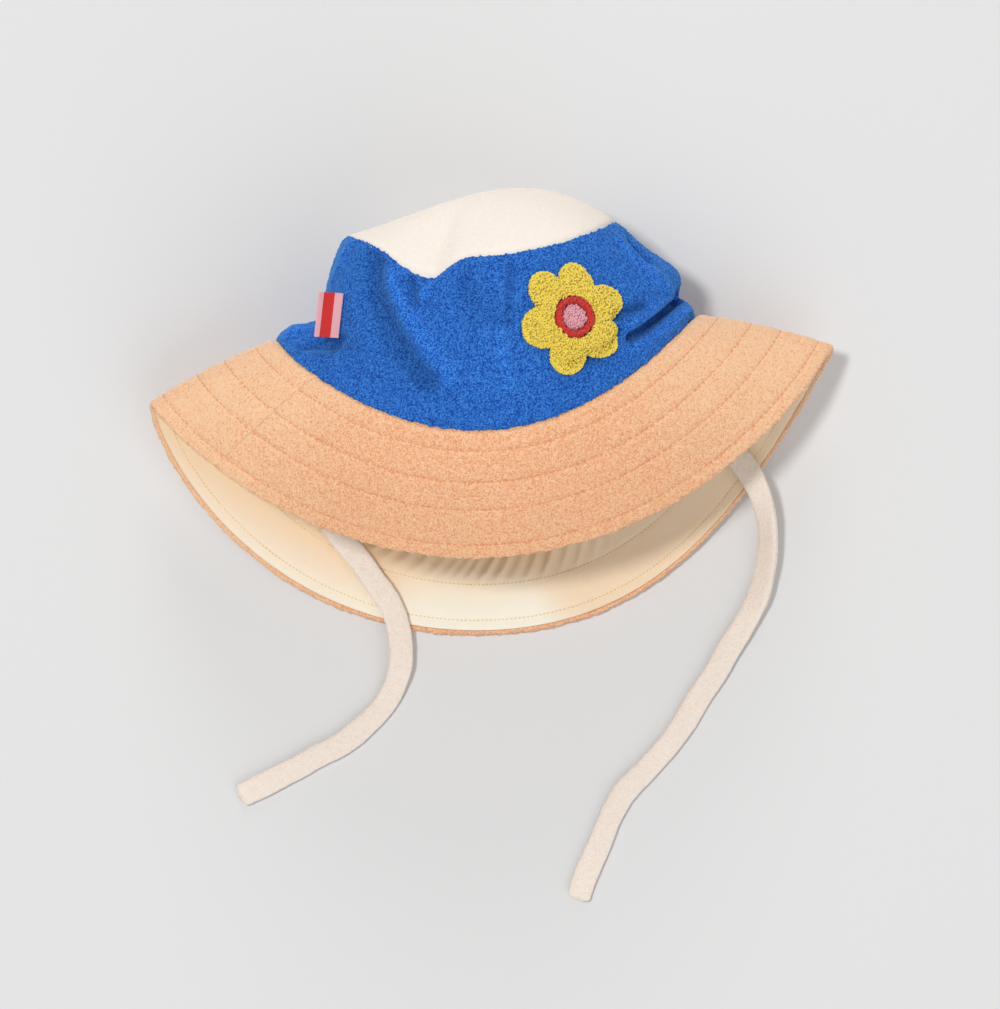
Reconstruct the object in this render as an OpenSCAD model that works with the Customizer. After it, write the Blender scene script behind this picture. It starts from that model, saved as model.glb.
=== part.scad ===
// Child's sun hat with chin ties, lying on its back with its ties laid out in front.
// X runs across the hat, Y from the brim towards the crown, Z up from the surface it lies on.
// Angles run round the head: 0 at the middle of the front (uppermost), 90 at the +X side, 180 at the back.

/* [Head opening] */
// Width of the head opening, side to side
opening_w = 175; // [160:1:195]
// Height of the front of the opening above the surface
opening_front_h = 104; // [85:1:120]
// Height of the sides of the opening above the surface
opening_side_h = 40; // [32:1:48]
// How far the sides of the opening lie past its front, towards the crown
opening_side_rise = 42; // [34:1:50]
// How far the back of the opening lies short of its front, towards the brim
opening_back_drop = 30; // [20:1:40]

/* [Crown] */
// Length of the front panel at its middle
crown_front = 71; // [60:1:85]
// Length of the back panel at its middle
crown_back = 85; // [75:1:100]
// Length of the crown at its crumpled sides
crown_side = 42; // [36:1:52]
// Width of the crown tip
tip_w = 113; // [100:1:135]
// Height of the front of the tip seam above the surface
tip_front_h = 98; // [80:1:112]
// Height of the sides of the tip seam above the surface
tip_side_h = 46; // [38:1:54]
// How far the tip puffs out of its seam
tip_puff = 36; // [24:1:42]
// How far the panels swell between their seams
crown_swell = 4; // [0:0.5:6]
// Depth of the dent in the front of the tip seam
dent_depth = 10; // [0:0.5:12]

/* [Brim] */
// Reach of the brim in front of the opening
brim_front = 53; // [45:1:62]
// Reach of the brim behind the opening
brim_back = 55; // [45:1:65]
// Reach of the brim past each side of the opening
brim_side = 55.5; // [46:0.5:64]
// How far the side corners of the brim lie below the sides of the opening
brim_side_drop = 18.5; // [12:0.5:26]
// Height of the front edge of the brim above the surface
brim_front_h = 80; // [66:1:96]
// Height of the side corners of the brim above the surface
brim_side_h = 25; // [18:1:32]
// How far the front of the brim bows upwards between seam and edge
brim_bow = 4; // [0:0.5:7]
// How far the sides of the brim bow towards the crown between seam and edge
brim_side_bow = 1.6; // [0:0.2:3]

/* [Cloth] */
// Thickness of the terry cloth
terry_t = 2; // [1.5:0.1:2.6]
// Thickness of the cotton lining
lining_t = 0.8; // [0.5:0.1:1.2]
// Thickness of the interlining inside the brim
interlining_t = 0.8; // [0.5:0.1:1.2]
// Gap between plies that lie on each other
ply_gap = 0.2; // [0.15:0.05:0.4]
// Gap between panels that are sewn edge to edge
seam_gap = 0.2; // [0.1:0.05:0.4]
// Width of the terry that rolls over the edge of the brim
edge_roll = 2.4; // [1.6:0.1:3.5]

/* [Back elastic] */
// Width of the elastic
elastic_w = 10; // [6:0.5:14]
// Thickness of the elastic
elastic_t = 1; // [0.8:0.1:1.4]
// Angle round the back of the head that the elastic covers
elastic_span = 90; // [60:2:110]
// Distance from the brim seam to the elastic
elastic_up = 6; // [2:0.5:10]

/* [Chin ties] */
// Length of a tie along its route
tie_len = 250; // [230:1:268]
// Width of a tie
tie_w = 10; // [7:0.5:12]
// Thickness of a tie
tie_t = 3.4; // [2.4:0.1:3.8]
// Width of the bar tack that holds a tie
tack_w = 1.6; // [1:0.1:2]
// Thickness of the bar tack's thread
tack_t = 1; // [0.8:0.1:1.4]
// Clearance above and beside a tie at its root
tack_gap = 0.4; // [0.3:0.05:0.6]
// Clearance between the root of a tie and its bar tack, which lets the tie swing
tack_over = 0.75; // [0.7:0.05:0.95]

/* [Side label] */
// How far the label stands out of the side seam
label_out = 11; // [8:0.5:14]
// Length of the label along the seam
label_len = 18.5; // [14:0.5:24]
// Thickness of the label tape
label_t = 0.5; // [0.4:0.05:0.7]
// Gap inside the folded label
label_slit = 0.3; // [0.2:0.05:0.5]

/* [Flower patch] */
// Distance across the petals
flower_d = 46; // [36:1:52]
// Number of petals
flower_petals_n = 6; // [5:1:8]
// Thickness of the petals
flower_t = 3.2; // [2:0.2:4]
// Distance across the ring round the centre
ring_d = 17; // [14:0.5:20]
// Thickness of the ring's cord
ring_cord = 3; // [2:0.2:4]
// Height of the centre
centre_t = 3; // [2:0.2:4]
// Gap between the patch and the panel under it
patch_gap = 0.4; // [0.3:0.05:0.6]

/* [Hidden] */

// Cloth colours
cream_terry = "#f7ede2";
blue_terry = "#1f5cc0";
orange_terry = "#f2b487";
cream_cotton = "#f2e4c4";
felt_white = "#e8e4da";
tie_cream = "#eee0d2";
thread_cream = "#e2cfae";
label_pink = "#f4b9c0";
flower_yellow = "#f0cf3c";
flower_red = "#d8322b";
flower_pink = "#f2a6b4";

// Angle of the middle of the hat's own front: the hat lies turned, and its side seams are a quarter turn from there
front_at = 35;

// How sharply the loops turn at the sides: 2 is an even curve, lower is a tighter fold
front_turn = 2;
edge_front_turn = 1.7;
back_turn = 1.27;

// Dent in the tip seam: its angle, and how far it reaches to its -X and to its +X side in degrees
dent_at = -24;
dent_span = 19.5;
dent_return = 10;
// How far the tip seam lies to the +X side, how far it tilts down there, and how far the puff leans that way
tip_shift = 1.4;
tip_tilt = 1.6;
tip_lean = 0.15;
// How far the back edge of the brim is drawn in at the +X side
edge_skew = 28;
// Where the brim seam kicks up at the -X side, and where the back edge of the brim sags: angle, half span, mm
kick_at = -92;
kick_span = 23;
kick_up = 3.7;
sag_at = -140;
sag_span = 28;
sag_down = 2.2;
// Waist where the left side of the crown is pressed in: its angle, half span, depth in mm and share at its foot
waist_at = -90;
waist_span = 40;
waist_depth = 20.5;
waist_foot = 0.12;
// Folds in the crown panels: angle, angle span, place from brim seam 0 to tip seam 1, its span, push in mm
FOLDS = [
    [86, 36, 0.46, 0.22, 5],
    [76, 26, 0.2, 0.07, -8]
];

// Steps round half the head, and rows across a panel, a brim and the tip
half_steps = 24;
seam_share = seam_gap / 2 / crown_front;
PANEL_ROWS = [seam_share, 0.07, 0.13, 0.2, 0.27, 0.35, 0.46, 0.6, 0.74, 0.88, 1 - seam_share];
brim_rows = 6;
tip_rows = 6;

// Depths of the plies below the outer face
lining_gap = elastic_t + 3 * ply_gap;
elastic_in = terry_t + 1.5 * ply_gap;
lining_in = terry_t + lining_gap;
interlining_in = terry_t + ply_gap;
under_in = interlining_in + interlining_t + ply_gap;
brim_t = under_in + lining_t;

// Places along Y, from the middle of the front brim seam
back_seam_y = -opening_back_drop;
side_seam_y = opening_side_rise;
side_edge_y = opening_side_rise - brim_side_drop;
front_edge_y = -brim_front;
back_edge_y = back_seam_y - brim_back;
back_tip_y = back_seam_y + crown_back;
side_tip_y = side_seam_y + crown_side;
tip_mid = [tip_shift, (crown_front + back_tip_y) / 2, tip_front_h / 2];

// Turn from one angle to another, from -180 to 180
function turn(a, b) = let (d = (a - b + 540) % 360) (d < 0 ? d + 360 : d) - 180;
function bell(x) = exp(-x * x);

// Height round a loop that lies on its back: front_h at the front, side_h at the sides, 0 at the back
function lying_z(front_h, side_h, a) = front_h * pow((1 + cos(a)) / 2, ln(side_h / front_h) / ln(0.5));
// Place along Y round a loop, from its front, side and back places
function lying_y(front_y, side_y, back_y, turn_f, a) = let (c = cos(a))
    c > 0 ? side_y - (side_y - front_y) * pow(c, turn_f)
          : side_y - (side_y - back_y) * pow(-c, back_turn);

// The three loops of the hat: the brim seam, the tip seam and the brim edge
function seam_loop(a) = [
    opening_w / 2 * sin(a),
    lying_y(0, side_seam_y, back_seam_y, front_turn, a) + kick_up * bell(turn(a, kick_at) / kick_span),
    lying_z(opening_front_h, opening_side_h, a)
];
function tip_loop(a) = [
    tip_shift + tip_w / 2 * sin(a),
    lying_y(crown_front, side_tip_y, back_tip_y, front_turn, a) - tip_tilt * sin(a)
        - dent_depth * bell(turn(a, dent_at) / (turn(a, dent_at) < 0 ? dent_span : dent_return)),
    lying_z(tip_front_h, tip_side_h, a)
];
function edge_loop(a) = [
    (opening_w / 2 + brim_side) * sin(a) - edge_skew * pow(max(sin(a), 0), 2) * max(-cos(a), 0),
    lying_y(front_edge_y, side_edge_y, back_edge_y, edge_front_turn, a)
        - sag_down * bell(turn(a, sag_at) / sag_span),
    lying_z(brim_front_h, brim_side_h, a)
];

// Outer faces: the crown panels from brim seam (t 0) to tip seam (t 1), the brim from seam to edge, the tip from middle to rim
function off_floor(a) = (1 + cos(a)) / 2;
function fold_push(a, t) = let (pushes = [for (f = FOLDS)
    f[4] * bell(turn(a, f[0]) / f[1]) * bell((t - f[2]) / f[3])]) pushes * [for (p = pushes) 1];
function waist_push(a, t) = -waist_depth * bell(turn(a, waist_at) / waist_span)
    * (1 - bell(t / waist_foot)) * pow(max(1 - t, 0), 1.2);
function panel_push(a, t) = 4 * t * (1 - t) * crown_swell * off_floor(a)
    + sin(180 * t) * fold_push(a, t) + waist_push(a, t);
panel_face = function (a, t)
    seam_loop(a) * (1 - t) + tip_loop(a) * t + panel_push(a, t) * [sin(a), 0, cos(a)];
brim_face = function (a, s)
    seam_loop(a) * (1 - s) + edge_loop(a) * s
        + 4 * s * (1 - s) * [0, brim_side_bow * pow(abs(sin(a)), 4), brim_bow * pow((1 + cos(a)) / 2, 2)];
tip_face = function (a, r) let (d = tip_loop(a) - tip_mid, puff = tip_puff * (1 - r * r))
    tip_mid + [d[0] * r, d[1] * r * r + puff + tip_lean * d[0] * r * (1 - r * r), d[2] * r];

// Middle of the hat along Y, between the top of the tip and the back edge of the brim
tip_top_y = max([for (r = [0:0.05:1]) tip_face(90, r)[1]]);
middle_y = (tip_top_y + back_edge_y) / 2;

// Outward normal of a face; way is 1 or -1
function unit(v) = v / norm(v);
function face_normal(f, a, t, way) = let (da = 0.5, dt = 0.01)
    way * unit(cross(f(a + da, t) - f(a - da, t), f(a, t + dt) - f(a, t - dt)));
function panel_normal(a, t) = face_normal(panel_face, a, t, 1);
function brim_normal(a, s) = face_normal(brim_face, a, s, -1);
function tip_normal(a, r) = r == 0 ? [0, 1, 0] : face_normal(tip_face, a, r, -1);
// Direction of the plies where two faces are sewn together, long enough to keep their thickness
function mitre(n1, n2) = let (m = unit(n1 + n2)) m / max(m * n1, 0.6);
function seam_mitre(a) = mitre(panel_normal(a, 0), brim_normal(a, 0));
function tip_mitre(a) = mitre(panel_normal(a, 1), tip_normal(a, 1));

// Angle for the direction of the plies: both sides of a side seam share the seam's own
function at_seam(a) = abs(cos(a - front_at)) < 0.01 ? front_at + round((a - front_at) / 90) * 90 : a;
// Points at a depth below each outer face
function panel_at(a, t, depth) = let (b = at_seam(a)) panel_face(a, t)
    - depth * (t < 0.01 ? seam_mitre(b) : t > 0.99 ? tip_mitre(b) : panel_normal(b, t));
function brim_at(a, s, depth) = let (b = at_seam(a)) brim_face(a, s)
    - depth * (s < 0.01 ? seam_mitre(b) : brim_normal(b, s));
function tip_at(a, r, depth) = tip_face(a, r) - depth * (r > 0.99 ? tip_mitre(a) : tip_normal(a, r));

// Angles of the front half and of the back half, with a seam gap at each side
side_gap = seam_gap / opening_w * 180 / PI;
function half_angles(middle) = [for (i = [0:half_steps])
    front_at + middle + (i / half_steps - 0.5) * (180 - 2 * side_gap)];
// Shares along the brim, from half a seam gap at its inner edge to where the rolled edge begins
roll_share = 1 - edge_roll / brim_back;
brim_first = seam_gap / 2 / brim_back;
BRIM_ROWS = [for (i = [0:brim_rows]) brim_first + (roll_share - brim_first) * i / brim_rows];
BRIM_TOP_ROWS = concat(BRIM_ROWS, [(roll_share + 1) / 2 - 0.005, 1]);

// Faces of a grid of points, nu rows of nv, starting at point number first
function grid_faces(nu, nv, first, loop, flip) = [
    for (i = [0:nu - (loop ? 1 : 2)]) for (j = [0:nv - 2])
        let (a = first + i * nv + j, b = first + (i + 1) % nu * nv + j)
        each flip ? [[a, a + 1, b + 1], [a, b + 1, b]] : [[a, b + 1, a + 1], [a, b, b + 1]]
];
// Faces that close the edge of two such grids between two lines of point numbers
function wall_faces(near, far, loop, flip) = let (n = len(near)) [
    for (i = [0:n - (loop ? 1 : 2)]) let (k = (i + 1) % n)
        each flip ? [[near[i], far[k], far[i]], [near[i], near[k], far[k]]]
                  : [[near[i], far[i], far[k]], [near[i], far[k], near[k]]]
];
function flat(rows) = [for (r = rows) each r];

// A ply of cloth between an outer and an inner grid of points
module ply(outer, inner, loop = false) {
    nu = len(outer);
    nv = len(outer[0]);
    n = nu * nv;
    rows = [for (i = [0:nu - 1]) i * nv];
    columns = [for (j = [0:nv - 1]) j];
    polyhedron(
        points = concat(flat(outer), flat(inner)),
        faces = concat(
            grid_faces(nu, nv, 0, loop, true),
            grid_faces(nu, nv, n, loop, false),
            wall_faces(rows, rows + [for (r = rows) n], loop, true),
            wall_faces([for (r = rows) r + nv - 1], [for (r = rows) r + nv - 1 + n], loop, false),
            loop ? [] : wall_faces(columns, [for (c = columns) c + n], false, false),
            loop ? [] : wall_faces([for (c = columns) c + (nu - 1) * nv],
                                   [for (c = columns) c + (nu - 1) * nv + n], false, true)
        )
    );
}

// A ply that spans one half of the head, between two depths of the crown panels or of the brim
module half_panel(middle, d_out, d_in) {
    angles = half_angles(middle);
    ply([for (a = angles) [for (t = PANEL_ROWS) panel_at(a, t, d_out)]],
        [for (a = angles) [for (t = PANEL_ROWS) panel_at(a, t, d_in)]]);
}
module half_brim(middle, d_out, d_in) {
    angles = half_angles(middle);
    ply([for (a = angles) [for (s = BRIM_ROWS) brim_at(a, s, d_in)]],
        [for (a = angles) [for (s = BRIM_ROWS) brim_at(a, s, d_out)]]);
}
// The terry of the brim, whose last rows roll over the edge and cover the plies below
module half_brim_top(middle) {
    angles = half_angles(middle);
    ply([for (a = angles) [for (s = BRIM_TOP_ROWS)
            brim_at(a, s, s > roll_share + 0.001 ? brim_t : terry_t)]],
        [for (a = angles) [for (s = BRIM_TOP_ROWS) brim_at(a, s, 0)]]);
}
// A round ply between an outer and an inner grid of rings, with a point in its middle on each side
module round_ply(outer, inner, top, bottom) {
    nu = len(outer);
    nv = len(outer[0]);
    n = nu * nv;
    rows = [for (i = [0:nu - 1]) i * nv];
    polyhedron(
        points = concat(flat(outer), flat(inner), [top, bottom]),
        faces = concat(
            grid_faces(nu, nv, 0, true, false),
            grid_faces(nu, nv, n, true, true),
            wall_faces([for (r = rows) r + nv - 1], [for (r = rows) r + nv - 1 + n], true, true),
            [for (i = [0:nu - 1]) [2 * n, rows[(i + 1) % nu], rows[i]]],
            [for (i = [0:nu - 1]) [2 * n + 1, rows[i] + n, rows[(i + 1) % nu] + n]]
        )
    );
}
module tip_ply(d_out, d_in) {
    angles = [for (i = [0:2 * half_steps - 1]) front_at + i * 180 / half_steps];
    shares = [for (j = [1:tip_rows]) j == tip_rows ? 1 - seam_gap / tip_w : j / tip_rows];
    round_ply(
        [for (a = angles) [for (r = shares) tip_at(a, r, d_out)]],
        [for (a = angles) [for (r = shares) tip_at(a, r, d_in)]],
        tip_at(0, 0, d_out),
        tip_at(0, 0, d_in)
    );
}

// Chin ties: each is caught in the side seam of the head opening, then its route follows points chosen by hand,
// as X, Y from the root, height above where the tie would lie flat, and lean of the tie in degrees
tie_root_share = 0.06;
tie_lift = brim_t + tack_gap + tie_t / 2;
// Extra room at the left root, where the brim curves round it
hang_gap = 1;
tie_flat_h = tie_t / 2 + 0.3;
LEFT_ROUTE = [
    [0.5, -7.5, 60, 0], [-1, -12, 51, 0], [-2, -15.5, 41.5, 0], [-4.5, -18.5, 32.5, 0],
    [-7, -23, 24.5, 0], [-9, -30, 19, 0], [-8.5, -39, 15, 0], [-5, -48, 12, 0],
    [4.5, -64, 10.5, 0], [11, -73.5, 10, 0], [16.5, -83, 8.5, 0], [21, -91, 7, 0],
    [23.5, -98.5, 6, 0], [24.5, -106, 5, 0], [24.5, -113, 4.5, 0], [23.5, -118.5, 3.5, 0],
    [21, -125.5, 1.5, 0], [17, -132, 0, 0], [12, -137.5, 0, 0], [5, -143, 0, 0],
    [-3, -148.5, 0, 0], [-13.5, -153, 0, 0], [-24.5, -158, 0, 0], [-35.5, -162.5, 0, 0],
    [-48, -167.5, 0, 0]
];
RIGHT_ROUTE = [
    [6.5, -4.5, 17.5, 0], [15.5, -10, 17.5, 0], [24, -16.5, 16, 0], [30.5, -24.5, 15.5, 10],
    [35, -33.5, 14.5, 20], [37.5, -42.5, 11.5, 35], [38.5, -53.5, 7.5, 45], [37, -65.5, 5, 40],
    [33.5, -77.5, 3.5, 30], [27.5, -88.5, 2, 15], [19.5, -99.5, 1, 5], [12, -110.5, 0.5, 0],
    [3.5, -121.5, 0, 0], [-3.5, -131.5, 0, 0], [-11.5, -140.5, 0, 0], [-21, -149.5, 0, 0],
    [-30, -157.5, 0, 0], [-36.5, -167.5, 0, 0], [-42, -178.5, 0, 0], [-48, -189.5, 0, 0],
    [-52.5, -200.5, 0, 0]
];
// Height of the brim's side corners that the routes are drawn for
route_side_h = 25;
function route_len(rows, i = 1) = i == len(rows) ? 0
    : norm(rows[i] - rows[i - 1]) + route_len(rows, i + 1);
function tie_at(side) = front_at + 90 * side;
function tie_rows(side) = side < 0 ? LEFT_ROUTE : RIGHT_ROUTE;
// Scale of a route across the surface, which gives the tie its length
function route_scale(side) = let (rows = tie_rows(side), root_h = tie_root(side)[2] - tie_flat_h)
    tie_len / route_len(concat([[0, 0, root_h]], [for (p = rows) [p[0], p[1], p[2]]]));
function tie_root(side) = brim_at(tie_at(side), tie_root_share, tie_lift + (side < 0 ? hang_gap : 0));
function tie_route(side) = let (root = tie_root(side), k = route_scale(side)) concat([root],
    [for (p = tie_rows(side))
        [root[0] + k * p[0], root[1] + k * p[1], tie_flat_h + p[2] * brim_side_h / route_side_h]]);
function tie_lean(side) = concat([0], [for (p = tie_rows(side)) p[3]]);
// Directions of a tie at its root, where its width lies along the seam: along the tie, and up from its face
function tie_seam(side) = unit(seam_loop(tie_at(side) + 1) - seam_loop(tie_at(side) - 1));
function tie_way(side) = let (leg = tie_route(side)[1] - tie_route(side)[0], seam = tie_seam(side))
    unit(leg - (leg * seam) * seam);
function tie_up(side) = -side * cross(tie_way(side), tie_seam(side));
// Side and up directions of a tie whose route runs along d, leaning by an angle about it
function across(d, up) = unit(cross(up, d));
function lean_side(d, up, lean) = let (s = across(d, up), u = cross(d, s)) s * cos(lean) + u * sin(lean);
function lean_up(d, up, lean) = let (s = across(d, up), u = cross(d, s)) u * cos(lean) - s * sin(lean);
// Flat rounded section of a tie
tie_sides = 8;
function rounded(x, p) = sign(x) * pow(abs(x), p);
function tie_ring(at, d, up, lean, size) = [for (k = [0:tie_sides - 1])
    let (q = (k + 0.5) * 360 / tie_sides)
    at + size * (tie_w / 2 * rounded(cos(q), 0.45) * lean_side(d, up, lean)
        + tie_t / 2 * rounded(sin(q), 0.6) * lean_up(d, up, lean))];

// A tube skinned over rings of points
module skin(rings) {
    n = len(rings);
    m = len(rings[0]);
    polyhedron(
        points = flat(rings),
        faces = concat(
            [for (i = [0:n - 2]) for (k = [0:m - 1])
                let (a = i * m + k, b = i * m + (k + 1) % m)
                each [[a, b + m, b], [a, a + m, b + m]]],
            [[for (k = [0:m - 1]) k]],
            [[for (k = [0:m - 1]) (n - 1) * m + m - 1 - k]]
        )
    );
}
module chin_tie(side) {
    route = tie_route(side);
    leans = tie_lean(side);
    n = len(route);
    ways = [for (i = [0:n - 1]) i == 0 ? tie_way(side)
        : unit(route[min(i + 1, n - 1)] - route[max(i - 1, 0)])];
    ups = [for (i = [0:n - 1]) let (k = min(i / 4, 1)) unit(tie_up(side) * (1 - k) + [0, 0, 1] * k)];
    start = route[0] - ways[0] * tack_w / 4;
    end = route[n - 1] + ways[n - 1] * tie_t / 3;
    skin(concat(
        [tie_ring(start, ways[0], ups[0], 0, 0.8), tie_ring(route[0] + ways[0], ways[0], ups[0], 0, 1)],
        [for (i = [1:n - 1]) tie_ring(route[i], ways[i], ups[i], leans[i], 1)],
        [tie_ring(end, ways[n - 1], ups[n - 1], leans[n - 1], 0.8)]
    ));
}
// A bar of thread behind the root of a tie, with an end down each of its edges
module bar_tack(side) {
    d = tie_way(side);
    s = across(d, tie_up(side));
    u = tie_up(side);
    at = tie_root(side);
    half_w = tie_w / 2 + tack_gap;
    back = tack_w / 4 + tack_over;
    multmatrix([
        [u[0], s[0], -d[0], at[0]],
        [u[1], s[1], -d[1], at[1]],
        [u[2], s[2], -d[2], at[2]],
        [0, 0, 0, 1]
    ]) difference() {
        translate([-tack_w / 2, -half_w - tack_t, -tack_w])
            cube([tack_w, 2 * half_w + 2 * tack_t, tack_w + back + tack_t]);
        translate([-tack_w, -half_w, -2 * tack_w])
            cube([2 * tack_w, 2 * half_w, 2 * tack_w + back]);
    }
}

// Side label: a folded tape that stands out of the side seam
label_at = front_at - 90;
label_share = 0.42;
label_thick = 2 * label_t + label_slit;
label_foot = panel_at(label_at, label_share, -patch_gap - 0.3);
label_along = unit(panel_face(label_at, label_share + 0.15) - panel_face(label_at, label_share - 0.15));
label_way = let (w = [-1, 0, 0.1]) unit(w - (w * label_along) * label_along);
label_face = cross(label_way, label_along);
function label_bend(r, way) = [for (q = [-90:22.5:90])
    [label_out - label_thick / 2 + r * cos(way * q), r * sin(way * q)]];

// Flower patch: a place on the front panel, in mm from the middle of the flower, at a height above the panel
flower_at = 28;
flower_share = 0.53;
flower_per_a = (panel_face(flower_at + 1, flower_share) - panel_face(flower_at - 1, flower_share)) / 2;
flower_per_t = (panel_face(flower_at, flower_share + 0.02) - panel_face(flower_at, flower_share - 0.02)) / 0.04;
flower_x = unit(flower_per_a);
flower_y = unit(flower_per_t - (flower_per_t * flower_x) * flower_x);
function patch_at(x, y, h) = let (
    dt = y / (flower_per_t * flower_y),
    da = (x - (flower_per_t * flower_x) * dt) / norm(flower_per_a)
) panel_at(flower_at + da, flower_share + dt, -h);
function polar_patch(r, q, h) = patch_at(r * cos(q), r * sin(q), h);
// Radius of the petals' outline at an angle
petal_in = ring_d / 2 + patch_gap;
function petal_r(q) = flower_d / 2 * (0.64 + 0.36 * pow(abs(cos(flower_petals_n * q / 2)), 0.75));
centre_r = ring_d / 2 - ring_cord - patch_gap;

module crown_tip() {
    color(cream_terry) tip_ply(0, terry_t);
}
module crown_panel_front() {
    color(blue_terry) half_panel(0, 0, terry_t);
}
module crown_panel_back() {
    color(blue_terry) half_panel(180, 0, terry_t);
}
module brim_top_front() {
    color(orange_terry) half_brim_top(0);
}
module brim_top_back() {
    color(orange_terry) half_brim_top(180);
}
module brim_interlining_front() {
    color(felt_white) half_brim(0, interlining_in, interlining_in + interlining_t);
}
module brim_interlining_back() {
    color(felt_white) half_brim(180, interlining_in, interlining_in + interlining_t);
}
module brim_under_front() {
    color(cream_cotton) half_brim(0, under_in, brim_t);
}
module brim_under_back() {
    color(cream_cotton) half_brim(180, under_in, brim_t);
}
module lining_tip() {
    color(cream_cotton) tip_ply(lining_in, lining_in + lining_t);
}
module lining_panel_front() {
    color(cream_cotton) half_panel(0, lining_in, lining_in + lining_t);
}
module lining_panel_back() {
    color(cream_cotton) half_panel(180, lining_in, lining_in + lining_t);
}
module back_elastic() {
    middle = front_at + 180;
    inside = [for (a = half_angles(180)) if (abs(a - middle) < elastic_span / 2 - 1) a];
    angles = concat([middle - elastic_span / 2], inside, [middle + elastic_span / 2]);
    first = elastic_up / crown_back;
    last = (elastic_up + elastic_w) / crown_back;
    shares = concat([first], [for (t = PANEL_ROWS) if (t > first + 0.01 && t < last - 0.01) t], [last]);
    color(felt_white) ply(
        [for (a = angles) [for (t = shares) panel_at(a, t, elastic_in)]],
        [for (a = angles) [for (t = shares) panel_at(a, t, elastic_in + elastic_t)]]
    );
}
module chin_tie_left() {
    color(tie_cream) chin_tie(-1);
}
module chin_tie_right() {
    color(tie_cream) chin_tie(1);
}
module bar_tack_left() {
    color(thread_cream) bar_tack(-1);
}
module bar_tack_right() {
    color(thread_cream) bar_tack(1);
}
module side_label() {
    profile = concat(
        [[0, -label_thick / 2]],
        label_bend(label_thick / 2, 1),
        [[0, label_thick / 2], [0, label_slit / 2]],
        label_bend(label_slit / 2, -1),
        [[0, -label_slit / 2]]
    );
    color(label_pink) multmatrix([
        [label_way[0], label_face[0], -label_along[0], label_foot[0]],
        [label_way[1], label_face[1], -label_along[1], label_foot[1]],
        [label_way[2], label_face[2], -label_along[2], label_foot[2]],
        [0, 0, 0, 1]
    ]) linear_extrude(label_len, center = true) polygon(profile);
}
module flower_petals() {
    steps = 8 * flower_petals_n;
    rows = 3;
    angles = [for (i = [0:steps - 1]) i * 360 / steps];
    color(flower_yellow) ply(
        [for (q = angles) [for (j = [0:rows]) let (r = petal_in + (petal_r(q) - petal_in) * j / rows)
            polar_patch(r, q, patch_gap)]],
        [for (q = angles) [for (j = [0:rows]) let (r = petal_in + (petal_r(q) - petal_in) * j / rows)
            polar_patch(r, q, patch_gap + flower_t * (0.35 + 0.65 * sin(180 * (0.15 + 0.8 * j / rows))))]],
        loop = true
    );
}
module flower_ring() {
    steps = 24;
    rows = 4;
    angles = [for (i = [0:steps - 1]) i * 360 / steps];
    color(flower_red) ply(
        [for (q = angles) [for (j = [0:rows])
            polar_patch(ring_d / 2 - ring_cord * (1 - j / rows), q, patch_gap)]],
        [for (q = angles) [for (j = [0:rows])
            polar_patch(ring_d / 2 - ring_cord * (1 - j / rows), q,
                patch_gap + ring_cord * (0.3 + 0.7 * sin(180 * j / rows)))]],
        loop = true
    );
}
module flower_centre() {
    steps = 20;
    rows = 3;
    angles = [for (i = [0:steps - 1]) i * 360 / steps];
    color(flower_pink) round_ply(
        [for (q = angles) [for (j = [1:rows])
            polar_patch(centre_r * j / rows, q, patch_gap + centre_t * (1 - 0.6 * pow(j / rows, 2)))]],
        [for (q = angles) [for (j = [1:rows]) polar_patch(centre_r * j / rows, q, patch_gap)]],
        polar_patch(0, 0, patch_gap + centre_t),
        polar_patch(0, 0, patch_gap)
    );
}

// Every piece stands with the middle of the hat at the origin
module placed() {
    translate([0, -middle_y, 0]) children();
}
placed() crown_tip();
placed() crown_panel_front();
placed() crown_panel_back();
placed() brim_top_front();
placed() brim_top_back();
placed() brim_interlining_front();
placed() brim_interlining_back();
placed() brim_under_front();
placed() brim_under_back();
placed() lining_tip();
placed() lining_panel_front();
placed() lining_panel_back();
placed() back_elastic();
placed() chin_tie_left();
placed() chin_tie_right();
placed() bar_tack_left();
placed() bar_tack_right();
placed() side_label();
placed() flower_petals();
placed() flower_ring();
placed() flower_centre();
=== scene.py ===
import math

import bmesh
import bpy
import numpy as np
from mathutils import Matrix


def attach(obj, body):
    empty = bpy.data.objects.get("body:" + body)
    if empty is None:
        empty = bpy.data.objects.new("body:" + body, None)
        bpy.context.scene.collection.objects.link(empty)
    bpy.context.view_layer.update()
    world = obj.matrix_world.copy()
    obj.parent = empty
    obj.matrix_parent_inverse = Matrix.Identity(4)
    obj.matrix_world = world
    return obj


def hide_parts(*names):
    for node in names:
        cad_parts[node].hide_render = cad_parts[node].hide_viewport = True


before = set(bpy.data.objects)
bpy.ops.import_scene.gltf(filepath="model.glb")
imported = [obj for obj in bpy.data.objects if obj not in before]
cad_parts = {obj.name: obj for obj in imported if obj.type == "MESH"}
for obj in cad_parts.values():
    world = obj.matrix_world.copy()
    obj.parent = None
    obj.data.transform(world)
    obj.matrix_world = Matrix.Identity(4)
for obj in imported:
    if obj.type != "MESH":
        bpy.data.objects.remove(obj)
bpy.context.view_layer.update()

MM = 0.001

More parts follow.
